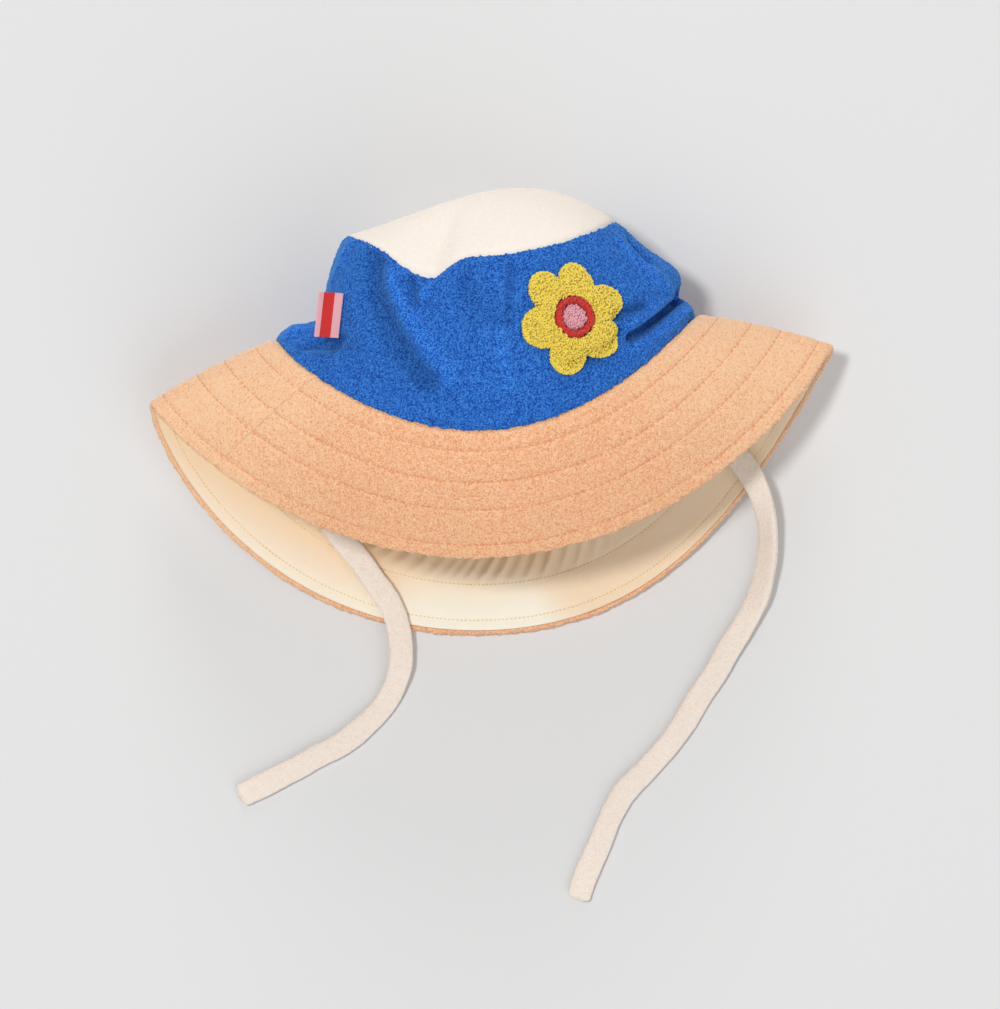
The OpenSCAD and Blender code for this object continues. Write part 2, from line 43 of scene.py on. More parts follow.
# Head opening, crown and brim
OPENING_W = 175
OPENING_FRONT_H = 104
OPENING_SIDE_H = 40
SIDE_SEAM_Y = 42
BACK_SEAM_Y = -30
CROWN_FRONT = 71
BACK_TIP_Y = BACK_SEAM_Y + 85
SIDE_TIP_Y = SIDE_SEAM_Y + 42
TIP_W = 113
TIP_FRONT_H = 98
TIP_SIDE_H = 46
TIP_PUFF = 36
CROWN_SWELL = 4
FRONT_EDGE_Y = -53
BACK_EDGE_Y = BACK_SEAM_Y - 55
SIDE_EDGE_Y = SIDE_SEAM_Y - 18.5
BRIM_SIDE = 55.5
BRIM_FRONT_H = 80
BRIM_SIDE_H = 25
BRIM_BOW = 4
BRIM_SIDE_BOW = 1.6
TIP_SHIFT = 1.4
TIP_TILT = 1.6
TIP_LEAN = 0.15
EDGE_SKEW = 28
FRONT_TURN = 2
EDGE_FRONT_TURN = 1.7
BACK_TURN = 1.27
DENT_DEPTH = 10
DENT_AT = -24
DENT_SPAN = 19.5
DENT_RETURN = 10
WAIST_AT = -90
WAIST_SPAN = 40
WAIST_DEPTH = 20.5
WAIST_FOOT = 0.12
WAIST_FADE = 1.2
KICK_AT = -92
KICK_SPAN = 23
KICK_UP = 3.7
SAG_AT = -140
SAG_SPAN = 28
SAG_DOWN = 2.2
CORNER_AT = 92
CORNER_SPAN = 15
CORNER_STEPS = (-8, -4, 0, 4, 8)
CORNER_MOVE = (3.4, 3.9, 0)
# Angle, angle span, share, share span and push of the two large folds in the crown
FOLDS = [(86, 36, 0.46, 0.22, 5), (76, 26, 0.2, 0.07, -8)]

# Side seams and the back of the head
FRONT_AT = 35
SIDE_SEAMS = (FRONT_AT - 90, FRONT_AT + 90)
BACK_AT = FRONT_AT + 180

# Plies below the outer face, as depths
TERRY_T = 2.0
INTERLINING = (2.2, 3.0)
UNDER = (3.2, 4.0)
ELASTIC = (2.3, 3.3)
LINING = (3.6, 4.4)
BRIM_LEN = 55.0
ELASTIC_UP = 6
ELASTIC_W = 10
ELASTIC_SPAN = 90

# Brim stitch rows, as shares from seam to edge
STITCH_ROWS = (0.163, 0.404, 0.618, 0.89)

# Chin ties
TIE_LEN = 250
TIE_W = 10
TIE_T = 3.4
TIE_ROOT_SHARE = 0.06
TIE_LIFT = UNDER[1] + 0.4 + TIE_T / 2
HANG_GAP = 1
TIE_FLAT_H = TIE_T / 2 + 0.3
LEFT_ROUTE = [
    (0.5, -7.5, 60, 0), (-1, -12, 51, 0), (-2, -15.5, 41.5, 0), (-4.5, -18.5, 32.5, 0), (-7, -23, 24.5, 0),
    (-9, -30, 19, 0), (-8.5, -39, 15, 0), (-5, -48, 12, 0), (4.5, -64, 10.5, 0), (11, -73.5, 10, 0),
    (16.5, -83, 8.5, 0), (21, -91, 7, 0), (23.5, -98.5, 6, 0), (24.5, -106, 5, 0), (24.5, -113, 4.5, 0),
    (23.5, -118.5, 3.5, 0), (21, -125.5, 1.5, 0), (17, -132, 0, 0), (12, -137.5, 0, 0), (5, -143, 0, 0),
    (-3, -148.5, 0, 0), (-13.5, -153, 0, 0), (-24.5, -158, 0, 0), (-35.5, -162.5, 0, 0), (-48, -167.5, 0, 0),
]
RIGHT_ROUTE = [
    (6.5, -4.5, 17.5, 0), (15.5, -10, 17.5, 0), (24, -16.5, 16, 0), (30.5, -24.5, 15.5, 10),
    (35, -33.5, 14.5, 20), (37.5, -42.5, 11.5, 35), (38.5, -53.5, 7.5, 45), (37, -65.5, 5, 40),
    (33.5, -77.5, 3.5, 30), (27.5, -88.5, 2, 15), (19.5, -99.5, 1, 5), (12, -110.5, 0.5, 0),
    (3.5, -121.5, 0, 0), (-3.5, -131.5, 0, 0), (-11.5, -140.5, 0, 0), (-21, -149.5, 0, 0),
    (-30, -157.5, 0, 0), (-36.5, -167.5, 0, 0), (-42, -178.5, 0, 0), (-48, -189.5, 0, 0),
    (-52.5, -200.5, 0, 0),
]
# Bar tacks
TACK_W = 1.6
TACK_T = 1
TACK_SIDE = 0.4
TACK_BACK = 1.15

# Side label and flower patch
LABEL_AT = SIDE_SEAMS[0]
LABEL_SHARE = 0.42
LABEL_OUT = 11
LABEL_LEN = 18.5
LABEL_T = 0.5
LABEL_THICK = 1.3
LABEL_LIFT = 0.7
LABEL_TILT = 7
LABEL_UP = 1.6
LABEL_CURL = 2.4
FLOWER_AT = 28
FLOWER_SHARE = 0.53
FLOWER_D = 46
PETALS = 6
FLOWER_T = 3.2
RING_D = 17
RING_CORD = 3
CENTRE_T = 3
PATCH_GAP = 0.4


# Numbers
def cosd(a):
    return np.cos(np.radians(a))


def sind(a):
    return np.sin(np.radians(a))


def bell(x):
    return np.exp(-x * x)


def turn(a, b):
    """Turn from angle b to angle a, from -180 to 180."""
    return (a - b + 540) % 360 - 180


def ease(x):
    """Smooth step from 0 at 0 to 1 at 1."""
    x = np.clip(x, 0, 1)
    return x * x * (3 - 2 * x)


def unit(v):
    return v / np.linalg.norm(v, axis=-1, keepdims=True)


def grids(a, t):
    """Angles and shares as two arrays of one shape."""
    return np.broadcast_arrays(np.asarray(a, float), np.asarray(t, float))


def cross_grid(first, second):
    """Two rows of numbers as two grids, with a column for each of the first."""
    return np.meshgrid(first, second, indexing="ij")


def xyz(x, y, z):
    return np.stack(np.broadcast_arrays(x, y, z), axis=-1)


def run_along(line):
    """Length from the start of a line to each of its points."""
    return np.concatenate([[0], np.cumsum(np.linalg.norm(np.diff(line, axis=0), axis=1))])


def lattice(i, j, k, seed):
    """A repeatable number from 0 to 1 at each whole-numbered place."""
    h = (i * 374761393 + j * 668265263 + k * 1274126177 + seed * 974634777) & 0xFFFFFFFF
    h = ((h ^ (h >> 13)) * 1103515245) & 0xFFFFFFFF
    h = ((h ^ (h >> 15)) * 2246822519) & 0xFFFFFFFF
    return ((h ^ (h >> 16)) & 0xFFFF) / 65535.0


def noise(points, size, seed):
    """Smooth noise from -1 to 1 with lumps about size across, at points of shape (..., 3)."""
    q = points / size
    base = np.floor(q).astype(np.int64)
    f = ease(q - base)
    total = np.zeros(q.shape[:-1])
    for corner in np.ndindex(2, 2, 2):
        weight = np.ones_like(total)
        for axis, side in enumerate(corner):
            weight = weight * (f[..., axis] if side else 1 - f[..., axis])
        c = base + np.array(corner)
        total += weight * lattice(c[..., 0], c[..., 1], c[..., 2], seed)
    return 2 * total - 1


# Form of the hat
def lying_z(front_h, side_h, a):
    return front_h * ((1 + cosd(a)) / 2) ** (math.log(side_h / front_h) / math.log(0.5))


def lying_y(front_y, side_y, back_y, turn_f, a):
    c = cosd(a)
    front = side_y - (side_y - front_y) * np.maximum(c, 0) ** turn_f
    back = side_y - (side_y - back_y) * np.maximum(-c, 0) ** BACK_TURN
    return np.where(c > 0, front, back)


def seam_loop(a):
    return xyz(
        OPENING_W / 2 * sind(a),
        lying_y(0, SIDE_SEAM_Y, BACK_SEAM_Y, FRONT_TURN, a) + KICK_UP * bell(turn(a, KICK_AT) / KICK_SPAN),
        lying_z(OPENING_FRONT_H, OPENING_SIDE_H, a),
    )


def tip_loop(a):
    at = turn(a, DENT_AT)
    dent = DENT_DEPTH * bell(at / np.where(at < 0, DENT_SPAN, DENT_RETURN))
    return xyz(
        TIP_SHIFT + TIP_W / 2 * sind(a),
        lying_y(CROWN_FRONT, SIDE_TIP_Y, BACK_TIP_Y, FRONT_TURN, a) - TIP_TILT * sind(a) - dent,
        lying_z(TIP_FRONT_H, TIP_SIDE_H, a),
    )


def drawn_edge(a):
    skew = EDGE_SKEW * np.maximum(sind(a), 0) ** 2 * np.maximum(-cosd(a), 0)
    return xyz(
        (OPENING_W / 2 + BRIM_SIDE) * sind(a) - skew,
        lying_y(FRONT_EDGE_Y, SIDE_EDGE_Y, BACK_EDGE_Y, EDGE_FRONT_TURN, a)
        - SAG_DOWN * bell(turn(a, SAG_AT) / SAG_SPAN),
        lying_z(BRIM_FRONT_H, BRIM_SIDE_H, a),
    )


def edge_loop(a):
    """The brim edge, with the soft turn of its fold at the +X side."""
    a = np.asarray(a, float)
    edge = drawn_edge(a)
    soft = sum(drawn_edge(a + step) for step in CORNER_STEPS) / len(CORNER_STEPS) + CORNER_MOVE
    return edge + bell(turn(a, CORNER_AT) / CORNER_SPAN)[..., None] * (soft - edge)


def panel_face(a, t):
    """Outer face of the crown panels, from the brim seam (t 0) to the tip seam (t 1)."""
    a, t = grids(a, t)
    swell = 4 * t * (1 - t) * CROWN_SWELL * (1 + cosd(a)) / 2
    folds = sum(f[4] * bell(turn(a, f[0]) / f[1]) * bell((t - f[2]) / f[3]) for f in FOLDS)
    waist = WAIST_DEPTH * bell(turn(a, WAIST_AT) / WAIST_SPAN) * (1 - bell(t / WAIST_FOOT))
    waist = waist * np.maximum(1 - t, 0) ** WAIST_FADE
    push = swell + np.sin(np.pi * t) * folds - waist
    out = xyz(sind(a), 0, cosd(a))
    share = t[..., None]
    return seam_loop(a) * (1 - share) + tip_loop(a) * share + push[..., None] * out


def brim_face(a, s):
    """Outer face of the brim, from its seam (s 0) to its edge (s 1)."""
    a, s = grids(a, s)
    share = s[..., None]
    bow = xyz(0, BRIM_SIDE_BOW * sind(a) ** 4, BRIM_BOW * ((1 + cosd(a)) / 2) ** 2)
    return seam_loop(a) * (1 - share) + edge_loop(a) * share + 4 * share * (1 - share) * bow


TIP_MID = np.array([TIP_SHIFT, (CROWN_FRONT + BACK_TIP_Y) / 2, TIP_FRONT_H / 2])


def tip_face(a, r):
    """Outer face of the crown tip, from its middle (r 0) to its seam (r 1)."""
    a, r = grids(a, r)
    d = tip_loop(a) - TIP_MID
    rise = d[..., 1] * r * r + TIP_PUFF * (1 - r * r) + TIP_LEAN * d[..., 0] * r * (1 - r * r)
    return TIP_MID + xyz(d[..., 0] * r, rise, d[..., 2] * r)


ANGLE_STEP = 0.5
SHARE_STEP = 0.01
TIP_LEAST_R = 0.03
MITRE_LEAST = 0.6
SEAM_BLEND = 0.07


def normal(face, way, a, t):
    """Outward normal of a face; way is 1 or -1."""
    along = face(a + ANGLE_STEP, t) - face(a - ANGLE_STEP, t)
    across = face(a, t + SHARE_STEP) - face(a, t - SHARE_STEP)
    return way * unit(np.cross(along, across))


def panel_normal(a, t):
    return normal(panel_face, 1, a, t)


def brim_normal(a, s):
    return normal(brim_face, -1, a, s)


def tip_normal(a, r):
    return normal(tip_face, -1, a, np.maximum(r, TIP_LEAST_R))


def mitre(n1, n2):
    """Direction of the plies where two faces are sewn together, long enough to keep their thickness."""
    m = unit(n1 + n2)
    return m / np.maximum((m * n1).sum(-1, keepdims=True), MITRE_LEAST)


def brim_seam_way(a, t):
    return mitre(panel_normal(a, 0 * t), brim_normal(a, 0 * t))


def tip_seam_way(a, t):
    return mitre(panel_normal(a, 0 * t + 1), tip_normal(a, 0 * t + 1))


def near_seam(share):
    """1 at a seam and 0 beyond the stretch where the plies turn to its mitre."""
    return np.clip(1 - share / SEAM_BLEND, 0, 1)[..., None]


def panel_way(a, t):
    """Direction of the plies of a panel: its normal, turned to the mitre near both seams."""
    a, t = grids(a, t)
    k0 = near_seam(t)
    k1 = near_seam(1 - t)
    return brim_seam_way(a, t) * k0 + tip_seam_way(a, t) * k1 + panel_normal(a, t) * (1 - k0 - k1)


def brim_way(a, s):
    a, s = grids(a, s)
    k0 = near_seam(s)
    return brim_seam_way(a, s) * k0 + brim_normal(a, s) * (1 - k0)


def tip_way(a, r):
    a, r = grids(a, r)
    k1 = near_seam(1 - r)
    return tip_seam_way(a, r) * k1 + tip_normal(a, r) * (1 - k1)


def sunk(face, way, a, t, depth):
    """A face moved inwards by a depth, along the direction of its plies."""
    return face(a, t) - depth * way(a, t)


TIP_TOP_Y = tip_face(90, np.arange(0, 1.01, 0.05))[..., 1].max()
MIDDLE_Y = (TIP_TOP_Y + BACK_EDGE_Y) / 2


def place(points):
    """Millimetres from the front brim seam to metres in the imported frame."""
    return (np.asarray(points, float) - np.array([0, MIDDLE_Y, 0])) * MM


# Camera: straight down from above, turned a little, as the photograph was taken
CAMERA_H = 3.0
CAMERA_AT = (0.0001, -0.0382)
CAMERA_TURN = -4.5
VIEW_H = 0.4204
VIEW_LEVEL = 0.040
SENSOR_W = 36


def add_camera():
    data = bpy.data.cameras.new("camera")
    data.sensor_width = SENSOR_W
    data.lens = SENSOR_W * (CAMERA_H - VIEW_LEVEL) / VIEW_H
    camera = bpy.data.objects.new("camera", data)
    camera.location = (*CAMERA_AT, CAMERA_H)
    camera.rotation_euler = (0, 0, math.radians(CAMERA_TURN))
    bpy.context.collection.objects.link(camera)
    bpy.context.scene.camera = camera


# Materials
def new_material(name):
    """A material, its node tree and its shader."""
    mat = bpy.data.materials.new(name)
    mat.use_nodes = True
    return mat, mat.node_tree, mat.node_tree.nodes["Principled BSDF"]


def set_inputs(tree, node, values):
    """Set each socket to a number or a colour, or link an output to it."""
    for key, value in values.items():
        socket = node.inputs[key]
        if isinstance(value, tuple):
            socket.default_value = (*value, 1)
        elif isinstance(value, (int, float)):
            socket.default_value = value
        else:
            tree.links.new(value, socket)


def add_node(tree, kind, inputs, **settings):
    """The outputs of a new node."""
    node = tree.nodes.new(f"ShaderNode{kind}")
    for key, value in settings.items():
        setattr(node, key, value)
    set_inputs(tree, node, inputs)
    return node.outputs


def own_coords(tree):
    """The piece's own coordinates, in metres."""
    return add_node(tree, "TexCoord", {})["Object"]


def noise_node(tree, scale, detail, rough):
    """Noise with scale lumps to the metre."""
    inputs = {"Scale": scale, "Detail": detail, "Roughness": rough, "Vector": own_coords(tree)}
    return add_node(tree, "TexNoise", inputs)["Fac"]


def ramp_node(tree, value, stops):
    """Colour ramp of (position, colour) stops."""
    node = tree.nodes.new("ShaderNodeValToRGB")
    elements = node.color_ramp.elements
    while len(elements) < len(stops):
        elements.new(0.5)
    for element, (position, colour) in zip(elements, stops):
        element.position = position
        element.color = (*colour, 1)
    tree.links.new(value, node.inputs["Fac"])
    return node.outputs["Color"]


def shade(colour, factor):
    return tuple(min(c * factor, 1) for c in colour)


def tone_node(tree, value, colour, *stops):
    """Colour ramp of (position, brightness) stops of one colour."""
    return ramp_node(tree, value, [(position, shade(colour, factor)) for position, factor in stops])


def math_node(tree, operation, a, b):
    return add_node(tree, "Math", {0: a, 1: b}, operation=operation)[0]


def sum_node(tree, a, b):
    return math_node(tree, "ADD", a, b)


def product_node(tree, a, b):
    return math_node(tree, "MULTIPLY", a, b)


def mix_node(tree, factor, a, b):
    return add_node(tree, "Mix", {"Factor": factor, "A": a, "B": b}, data_type="RGBA")["Result"]


def bump_node(tree, height, strength, distance, **under):
    inputs = {"Height": height, "Strength": strength, "Distance": distance, **under}
    return add_node(tree, "Bump", inputs)["Normal"]


def attribute_node(tree, name):
    """A number that the mesh holds at each of its points."""
    return add_node(tree, "Attribute", {}, attribute_name=name)["Fac"]


LOOP_TOP = 1.05
LOOP_SHARE = 0.5
LOOP_GRAIN = 0.76
RELIEF_SHARE = 0.16
RAMP_SPREAD = 0.2
PATCH_SCALE = 38
PATCH_SHARE = 0.2
PAINTED_FOLD_SHADE_CONTRAST = 0.3


def loops_node(tree, scale):
    """Round loop tips with painted shade in the gaps between them, scale of them to the metre."""
    cells = add_node(tree, "TexVoronoi", {"Scale": scale, "Vector": own_coords(tree)})
    return math_node(tree, "SUBTRACT", LOOP_TOP, cells["Distance"])


def terry(name, colour, dark, light, sheen, tint, grain, contrast):
    """Looped pile: the yarn's grain with painted shade in the gaps and painted light on the loop tips,
    patches where the pile lies another way, and painted light and shade on folds.
    """
    mat, tree, shader = new_material(name)
    fuzz = product_node(tree, noise_node(tree, grain, 1.0, 0.6), 1 - LOOP_SHARE)
    fine = sum_node(tree, fuzz, product_node(tree, loops_node(tree, LOOP_GRAIN * grain), LOOP_SHARE))
    # Painted shade and light from the pile's own relief: low places between loops darker, loop tips lighter,
    # on top of the yarn's grain.
    relief = product_node(tree, attribute_node(tree, "loop"), RELIEF_SHARE)
    value = sum_node(tree, product_node(tree, fine, 1 - RELIEF_SHARE), relief)
    # Painted sheen: the pile of the brim is made paler towards its sides.
    value = sum_node(tree, value, attribute_node(tree, "worn"))
    spread = RAMP_SPREAD / contrast
    pile_colour = ramp_node(tree, value, [(0.5 - spread, dark), (0.5, colour), (0.5 + spread, light)])
    lying = tone_node(tree, noise_node(tree, PATCH_SCALE, 2.0, 0.5), colour, (0.35, 0.93), (0.65, 1.05))
    mixed = mix_node(tree, PATCH_SHARE, pile_colour, lying)
    # Painted light and shade on folds: ridges painted lighter, valleys darker.
    lit = sum_node(tree, product_node(tree, attribute_node(tree, "fold"), PAINTED_FOLD_SHADE_CONTRAST), 1.0)
    set_inputs(tree, shader, {
        "Base Color": add_node(tree, "VectorMath", {0: mixed, "Scale": lit}, operation="SCALE")[0],
        "Normal": bump_node(tree, fine, 0.6, 0.0005), "Roughness": 0.95, "Specular IOR Level": 0.15,
        "Sheen Weight": sheen, "Sheen Roughness": 0.45, "Sheen Tint": tint,
    })
    return mat


WAVE_LENGTH = 0.314
SLUB_SCALE = 160
SOFT_SCALE = 22


def woven(name, colour, pitch, contrast=0.06, painted_shade_colour=None):
    """Fine cloth: warp and weft threads, pitch apart in metres, with slubs, and, where a colour is given,
    painted shade and painted orange bounce light mixed in by a number the mesh holds at each point.
    """
    mat, tree, shader = new_material(name)
    thread = {"Scale": WAVE_LENGTH / pitch, "Distortion": 0.6, "Detail": 1.0, "Detail Scale": 0.5}
    thread["Vector"] = own_coords(tree)
    threads = [add_node(tree, "TexWave", thread, bands_direction=axis)["Fac"] for axis in ("X", "Y")]
    weave = math_node(tree, "MAXIMUM", *threads)
    slub = noise_node(tree, SLUB_SCALE, 3.0, 0.6)
    soft = noise_node(tree, SOFT_SCALE, 2.0, 0.5)
    tone = tone_node(tree, weave, colour, (0.2, 1 - contrast), (0.9, 1 + contrast / 2))
    tint = tone_node(tree, slub, colour, (0.3, 0.95), (0.7, 1.03))
    wide = tone_node(tree, soft, colour, (0.3, 0.97), (0.7, 1.02))
    cloth = mix_node(tree, 0.3, mix_node(tree, 0.35, tone, tint), wide)
    # Painted shade: the given colour stands in for shade and for orange light bounced from the terry, mixed
    # in by how much shade is painted at each point.
    if painted_shade_colour is not None:
        cloth = mix_node(tree, attribute_node(tree, "deep"), cloth, painted_shade_colour)
    under = bump_node(tree, slub, 0.12, 0.0006)
    set_inputs(tree, shader, {
        "Base Color": cloth, "Normal": bump_node(tree, weave, 0.25, 0.0001, Normal=under),
        "Roughness": 0.85, "Specular IOR Level": 0.25, "Sheen Weight": 0.1, "Sheen Roughness": 0.5,
    })
    return mat


FIBRE_SCALE = 2600
STRAND_SCALE = 900


def yarn(name, colour, fuzz=0.3):
    """Spun yarn or thread: twisted fibres with lit and dark strands."""
    mat, tree, shader = new_material(name)
    fibres = noise_node(tree, FIBRE_SCALE, 3.0, 0.7)
    strand = noise_node(tree, STRAND_SCALE, 2.0, 0.6)
    tone = tone_node(tree, fibres, colour, (0.3, 0.72), (0.7, 1.15))
    wide = tone_node(tree, strand, colour, (0.3, 0.85), (0.7, 1.08))
    set_inputs(tree, shader, {
        "Base Color": mix_node(tree, 0.5, tone, wide), "Normal": bump_node(tree, fibres, 0.5, 0.0002),
        "Roughness": 0.8, "Specular IOR Level": 0.3, "Sheen Weight": fuzz, "Sheen Roughness": 0.5,
    })
    return mat


CREAM_TERRY = terry(
    "cream_terry", (0.95, 0.862, 0.775), (0.90, 0.785, 0.685), (0.965, 0.90, 0.845),
    sheen=0.12, tint=(1, 0.95, 0.9), grain=1700, contrast=0.45,
)
BLUE_TERRY = terry(
    "blue_terry", (0.020, 0.122, 0.50), (0.006, 0.042, 0.26), (0.055, 0.26, 0.74),
    sheen=0.4, tint=(0.22, 0.6, 1.0), grain=1800, contrast=1.45,
)
ORANGE_TERRY = terry(
    "orange_terry", (0.90, 0.475, 0.255), (0.76, 0.30, 0.14), (0.97, 0.65, 0.41),
    sheen=0.55, tint=(1, 0.88, 0.74), grain=1900, contrast=1.4,
)
TIE_TERRY = terry(
    "tie_terry", (0.89, 0.78, 0.685), (0.81, 0.69, 0.59), (0.94, 0.86, 0.79),
    sheen=0.3, tint=(1, 0.95, 0.9), grain=1500, contrast=0.8,
)
# The orange-tan colour is painted shade with painted orange bounce light, for the cotton under the brim and
# inside the crown.
CREAM_COTTON = woven("cream_cotton", (0.97, 0.925, 0.79), 0.0005, painted_shade_colour=(0.90, 0.64, 0.40))
FELT = yarn("interlining_felt", (0.80, 0.78, 0.73), 0.1)
ELASTIC_WEB = woven("elastic_web", (0.84, 0.83, 0.80), 0.0012, 0.2)
ORANGE_THREAD = yarn("orange_thread", (0.86, 0.40, 0.20), 0.1)
OCHRE_THREAD = yarn("ochre_thread", (0.88, 0.66, 0.27), 0.1)
CREAM_THREAD = yarn("cream_thread", (0.76, 0.66, 0.52), 0.1)
LABEL_PINK = woven("label_pink", (0.84, 0.42, 0.45), 0.0004, 0.16)
LABEL_RED = woven("label_red", (0.66, 0.035, 0.03), 0.0004, 0.2)
YELLOW_YARN = yarn("yellow_boucle", (0.93, 0.71, 0.09))
RED_YARN = yarn("red_boucle", (0.68, 0.03, 0.02))
PINK_YARN = yarn("pink_boucle", (0.85, 0.42, 0.48))


# Meshes
def add_piece(name, points, faces, material, body, slot, replaced=(), **numbers):
    """A smooth mesh from millimetre points, riding on a body, with named numbers at its points."""
    name = f"{name}_soft" if replaced else name
    mesh = bpy.data.meshes.new(name)
    mesh.from_pydata(place(points).tolist(), [], faces)
    bm = bmesh.new()
    bm.from_mesh(mesh)
    bmesh.ops.recalc_face_normals(bm, faces=bm.faces)
    bm.to_mesh(mesh)
    bm.free()
    for key, values in numbers.items():
        padded = np.zeros(len(points), np.float32)
        padded[:values.size] = values.ravel()
        mesh.attributes.new(key, "FLOAT", "POINT").data.foreach_set("value", padded)
    mesh.shade_smooth()
    mesh.materials.append(material)
    piece = bpy.data.objects.new(name, mesh)
    bpy.context.collection.objects.link(piece)
    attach(piece, body)
    if replaced:
        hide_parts(*replaced)
    return piece


def hat_cloth(name, points, faces, material, slot, **numbers):
    """A piece of the hat that takes the place of the solid with its name."""
    add_piece(name, points, faces, material, "hat", slot, (name,), **numbers)


def grid_faces(nu, nv, first=0, loop=False):
    i = np.arange(nu if loop else nu - 1)[:, None]
    j = np.arange(nv - 1)[None, :]
    here = first + i * nv + j
    there = first + ((i + 1) % nu) * nv + j
    return np.stack([here, there, there + 1, here + 1], axis=-1).reshape(-1, 4).tolist()


def strip_faces(near, far, loop=False):
    n = len(near)
    return [
        [near[i], near[(i + 1) % n], far[(i + 1) % n], far[i]]
        for i in range(n if loop else n - 1)
    ]


def tube_faces(rings, sides):
    """Faces of a closed tube, with a cap at each end."""
    last = np.arange(rings) * sides + sides - 1
    faces = grid_faces(rings, sides) + strip_faces(last.tolist(), (last - sides + 1).tolist())
    return faces + [list(range(sides)), list(range((rings - 1) * sides, rings * sides))]


def circle_angles(sides):
    return np.arange(sides) * 2 * np.pi / sides


def ply(outer, inner, loop=False):
    """Points and faces of a closed ply between two grids with the same number of columns."""
    nu, nv = outer.shape[:2]
    ni = inner.shape[1]
    count = nu * nv
    points = np.concatenate([outer.reshape(-1, 3), inner.reshape(-1, 3)])
    out_col = np.arange(nu) * nv
    in_col = count + np.arange(nu) * ni
    faces = grid_faces(nu, nv, 0, loop) + grid_faces(nu, ni, count, loop)
    faces += strip_faces(out_col.tolist(), in_col.tolist(), loop)
    faces += strip_faces((out_col + nv - 1).tolist(), (in_col + ni - 1).tolist(), loop)
    if not loop:
        for column in (0, nu - 1):
            rim = list(range(column * nv, column * nv + nv))
            back = list(range(count + column * ni, count + column * ni + ni))
            faces.append(rim + back[::-1])
    return points, faces


LINE_POINTS = 721
FLOOR_LEAST = 0.15


def even_angles(face, share, first, last, step):
    """Angles that are step apart along a line of a face."""
    a = np.linspace(first, last, LINE_POINTS)
    line = face(a, np.full_like(a, share))
    run = run_along(line)
    return np.interp(np.linspace(0, run[-1], int(run[-1] / step) + 1), run, a)


def on_floor(points):
    """Cloth that lies on the floor is pressed flat there."""
    points[..., 2] = np.maximum(points[..., 2], FLOOR_LEAST)
    return points


# Terry relief
SEAM_DIP = 1.1
SEAM_REACH = 1.5
BROAD_SIZE = 1.7
BROAD_SHARE = 0.45
PILE_MIDDLE = 0.4
PILE_TOP = 0.9
SWELL = 0.15
SWELL_SIZE = 9


def pile(points, seed, height, size=0.9):
    """Height of the looped pile, with round lumps and sharp gaps, and how far up its loops a place is."""
    broad = np.abs(noise(points, BROAD_SIZE * size, seed + 1))
    loops = np.abs(noise(points, size, seed)) + BROAD_SHARE * broad
    lift = height * (loops - PILE_MIDDLE) + SWELL * noise(points, SWELL_SIZE, seed + 2)
    return lift, np.clip(loops / PILE_TOP, 0, 1)


def wrinkles(points, height, size, seed):
    """Soft unevenness of cotton: wide lumps and small ones."""
    return height * noise(points, size, seed) + 0.1 * noise(points, 4, seed + 1)


def seam_dip(distance):
    """How far cloth dives where it is sewn, at a distance from the seam."""
    return SEAM_DIP * bell(distance / SEAM_REACH)


def fringe(points, seed):
    """How far the loops of a cut edge spill over the next cloth."""
    return 0.9 * np.abs(noise(points, 1.2, seed)) + 0.35 * noise(points, 5, seed + 1)


def side_distance(a, mm_per_degree):
    """Distance along the cloth to the nearer side seam."""
    return np.minimum(np.abs(turn(a, SIDE_SEAMS[0])), np.abs(turn(a, SIDE_SEAMS[1]))) * mm_per_degree


# Creases of the crown panels: line of (angle, share), half width and push in mm
PANEL_MM_PER_DEGREE = 1.4
PANEL_LEN = 76
CREASES = [
    ([(-49.5, 0.97), (-42.7, 0.72), (-32.6, 0.55), (-19.4, 0.3)], 7.5, -3.2),
    ([(-39.7, 0.89), (-29.5, 0.72), (-21.8, 0.55), (-13.3, 0.3)], 5.2, 2.2),
    ([(-21, 1), (-25.2, 0.86)], 2.8, 2),
    ([(-32, 0.96), (-28, 0.83)], 3.6, -2.2),
    ([(11, 0.94), (9, 0.78), (6.9, 0.62)], 2.6, -1.7),
    ([(3.4, 0.8), (3, 0.66), (2.4, 0.5)], 2.2, -0.8),
    ([(3.2, 0.55), (4, 0.4), (4.9, 0.24)], 2.8, 1.5),
    ([(-7, 0.86), (-3, 0.68)], 7, -1.5),
    ([(75, 0.8), (71, 0.64)], 3.4, -2.4),
    ([(66, 0.84), (65, 0.58), (69, 0.36)], 4.5, 1.4),
    ([(24, 0.27), (33, 0.26), (42, 0.3)], 3.4, -3),
    ([(41, 0.43), (47, 0.4), (54, 0.37)], 3.2, -3),
    ([(44, 0.3), (58, 0.285), (72, 0.27)], 3, 1.5),
    ([(46, 0.22), (52, 0.195), (62, 0.188), (84, 0.18)], 2.4, -3.8),
    ([(46, 0.13), (60, 0.095), (80, 0.07)], 3, 1.3),
    ([(-68, 0.1), (-58, 0.19), (-53, 0.3)], 3.2, -2.8),
    ([(-72, 0.6), (-69, 0.97)], 4, 1),
    ([(-104, 0.07), (-92, 0.07), (-80, 0.065)], 3.6, 2),
]
PAINTED_FOLD_SHADE_PUSH = 2.4
FLOWER_FLAT = 11
FLOWER_FADE = 9
CREASE_FADE = 5


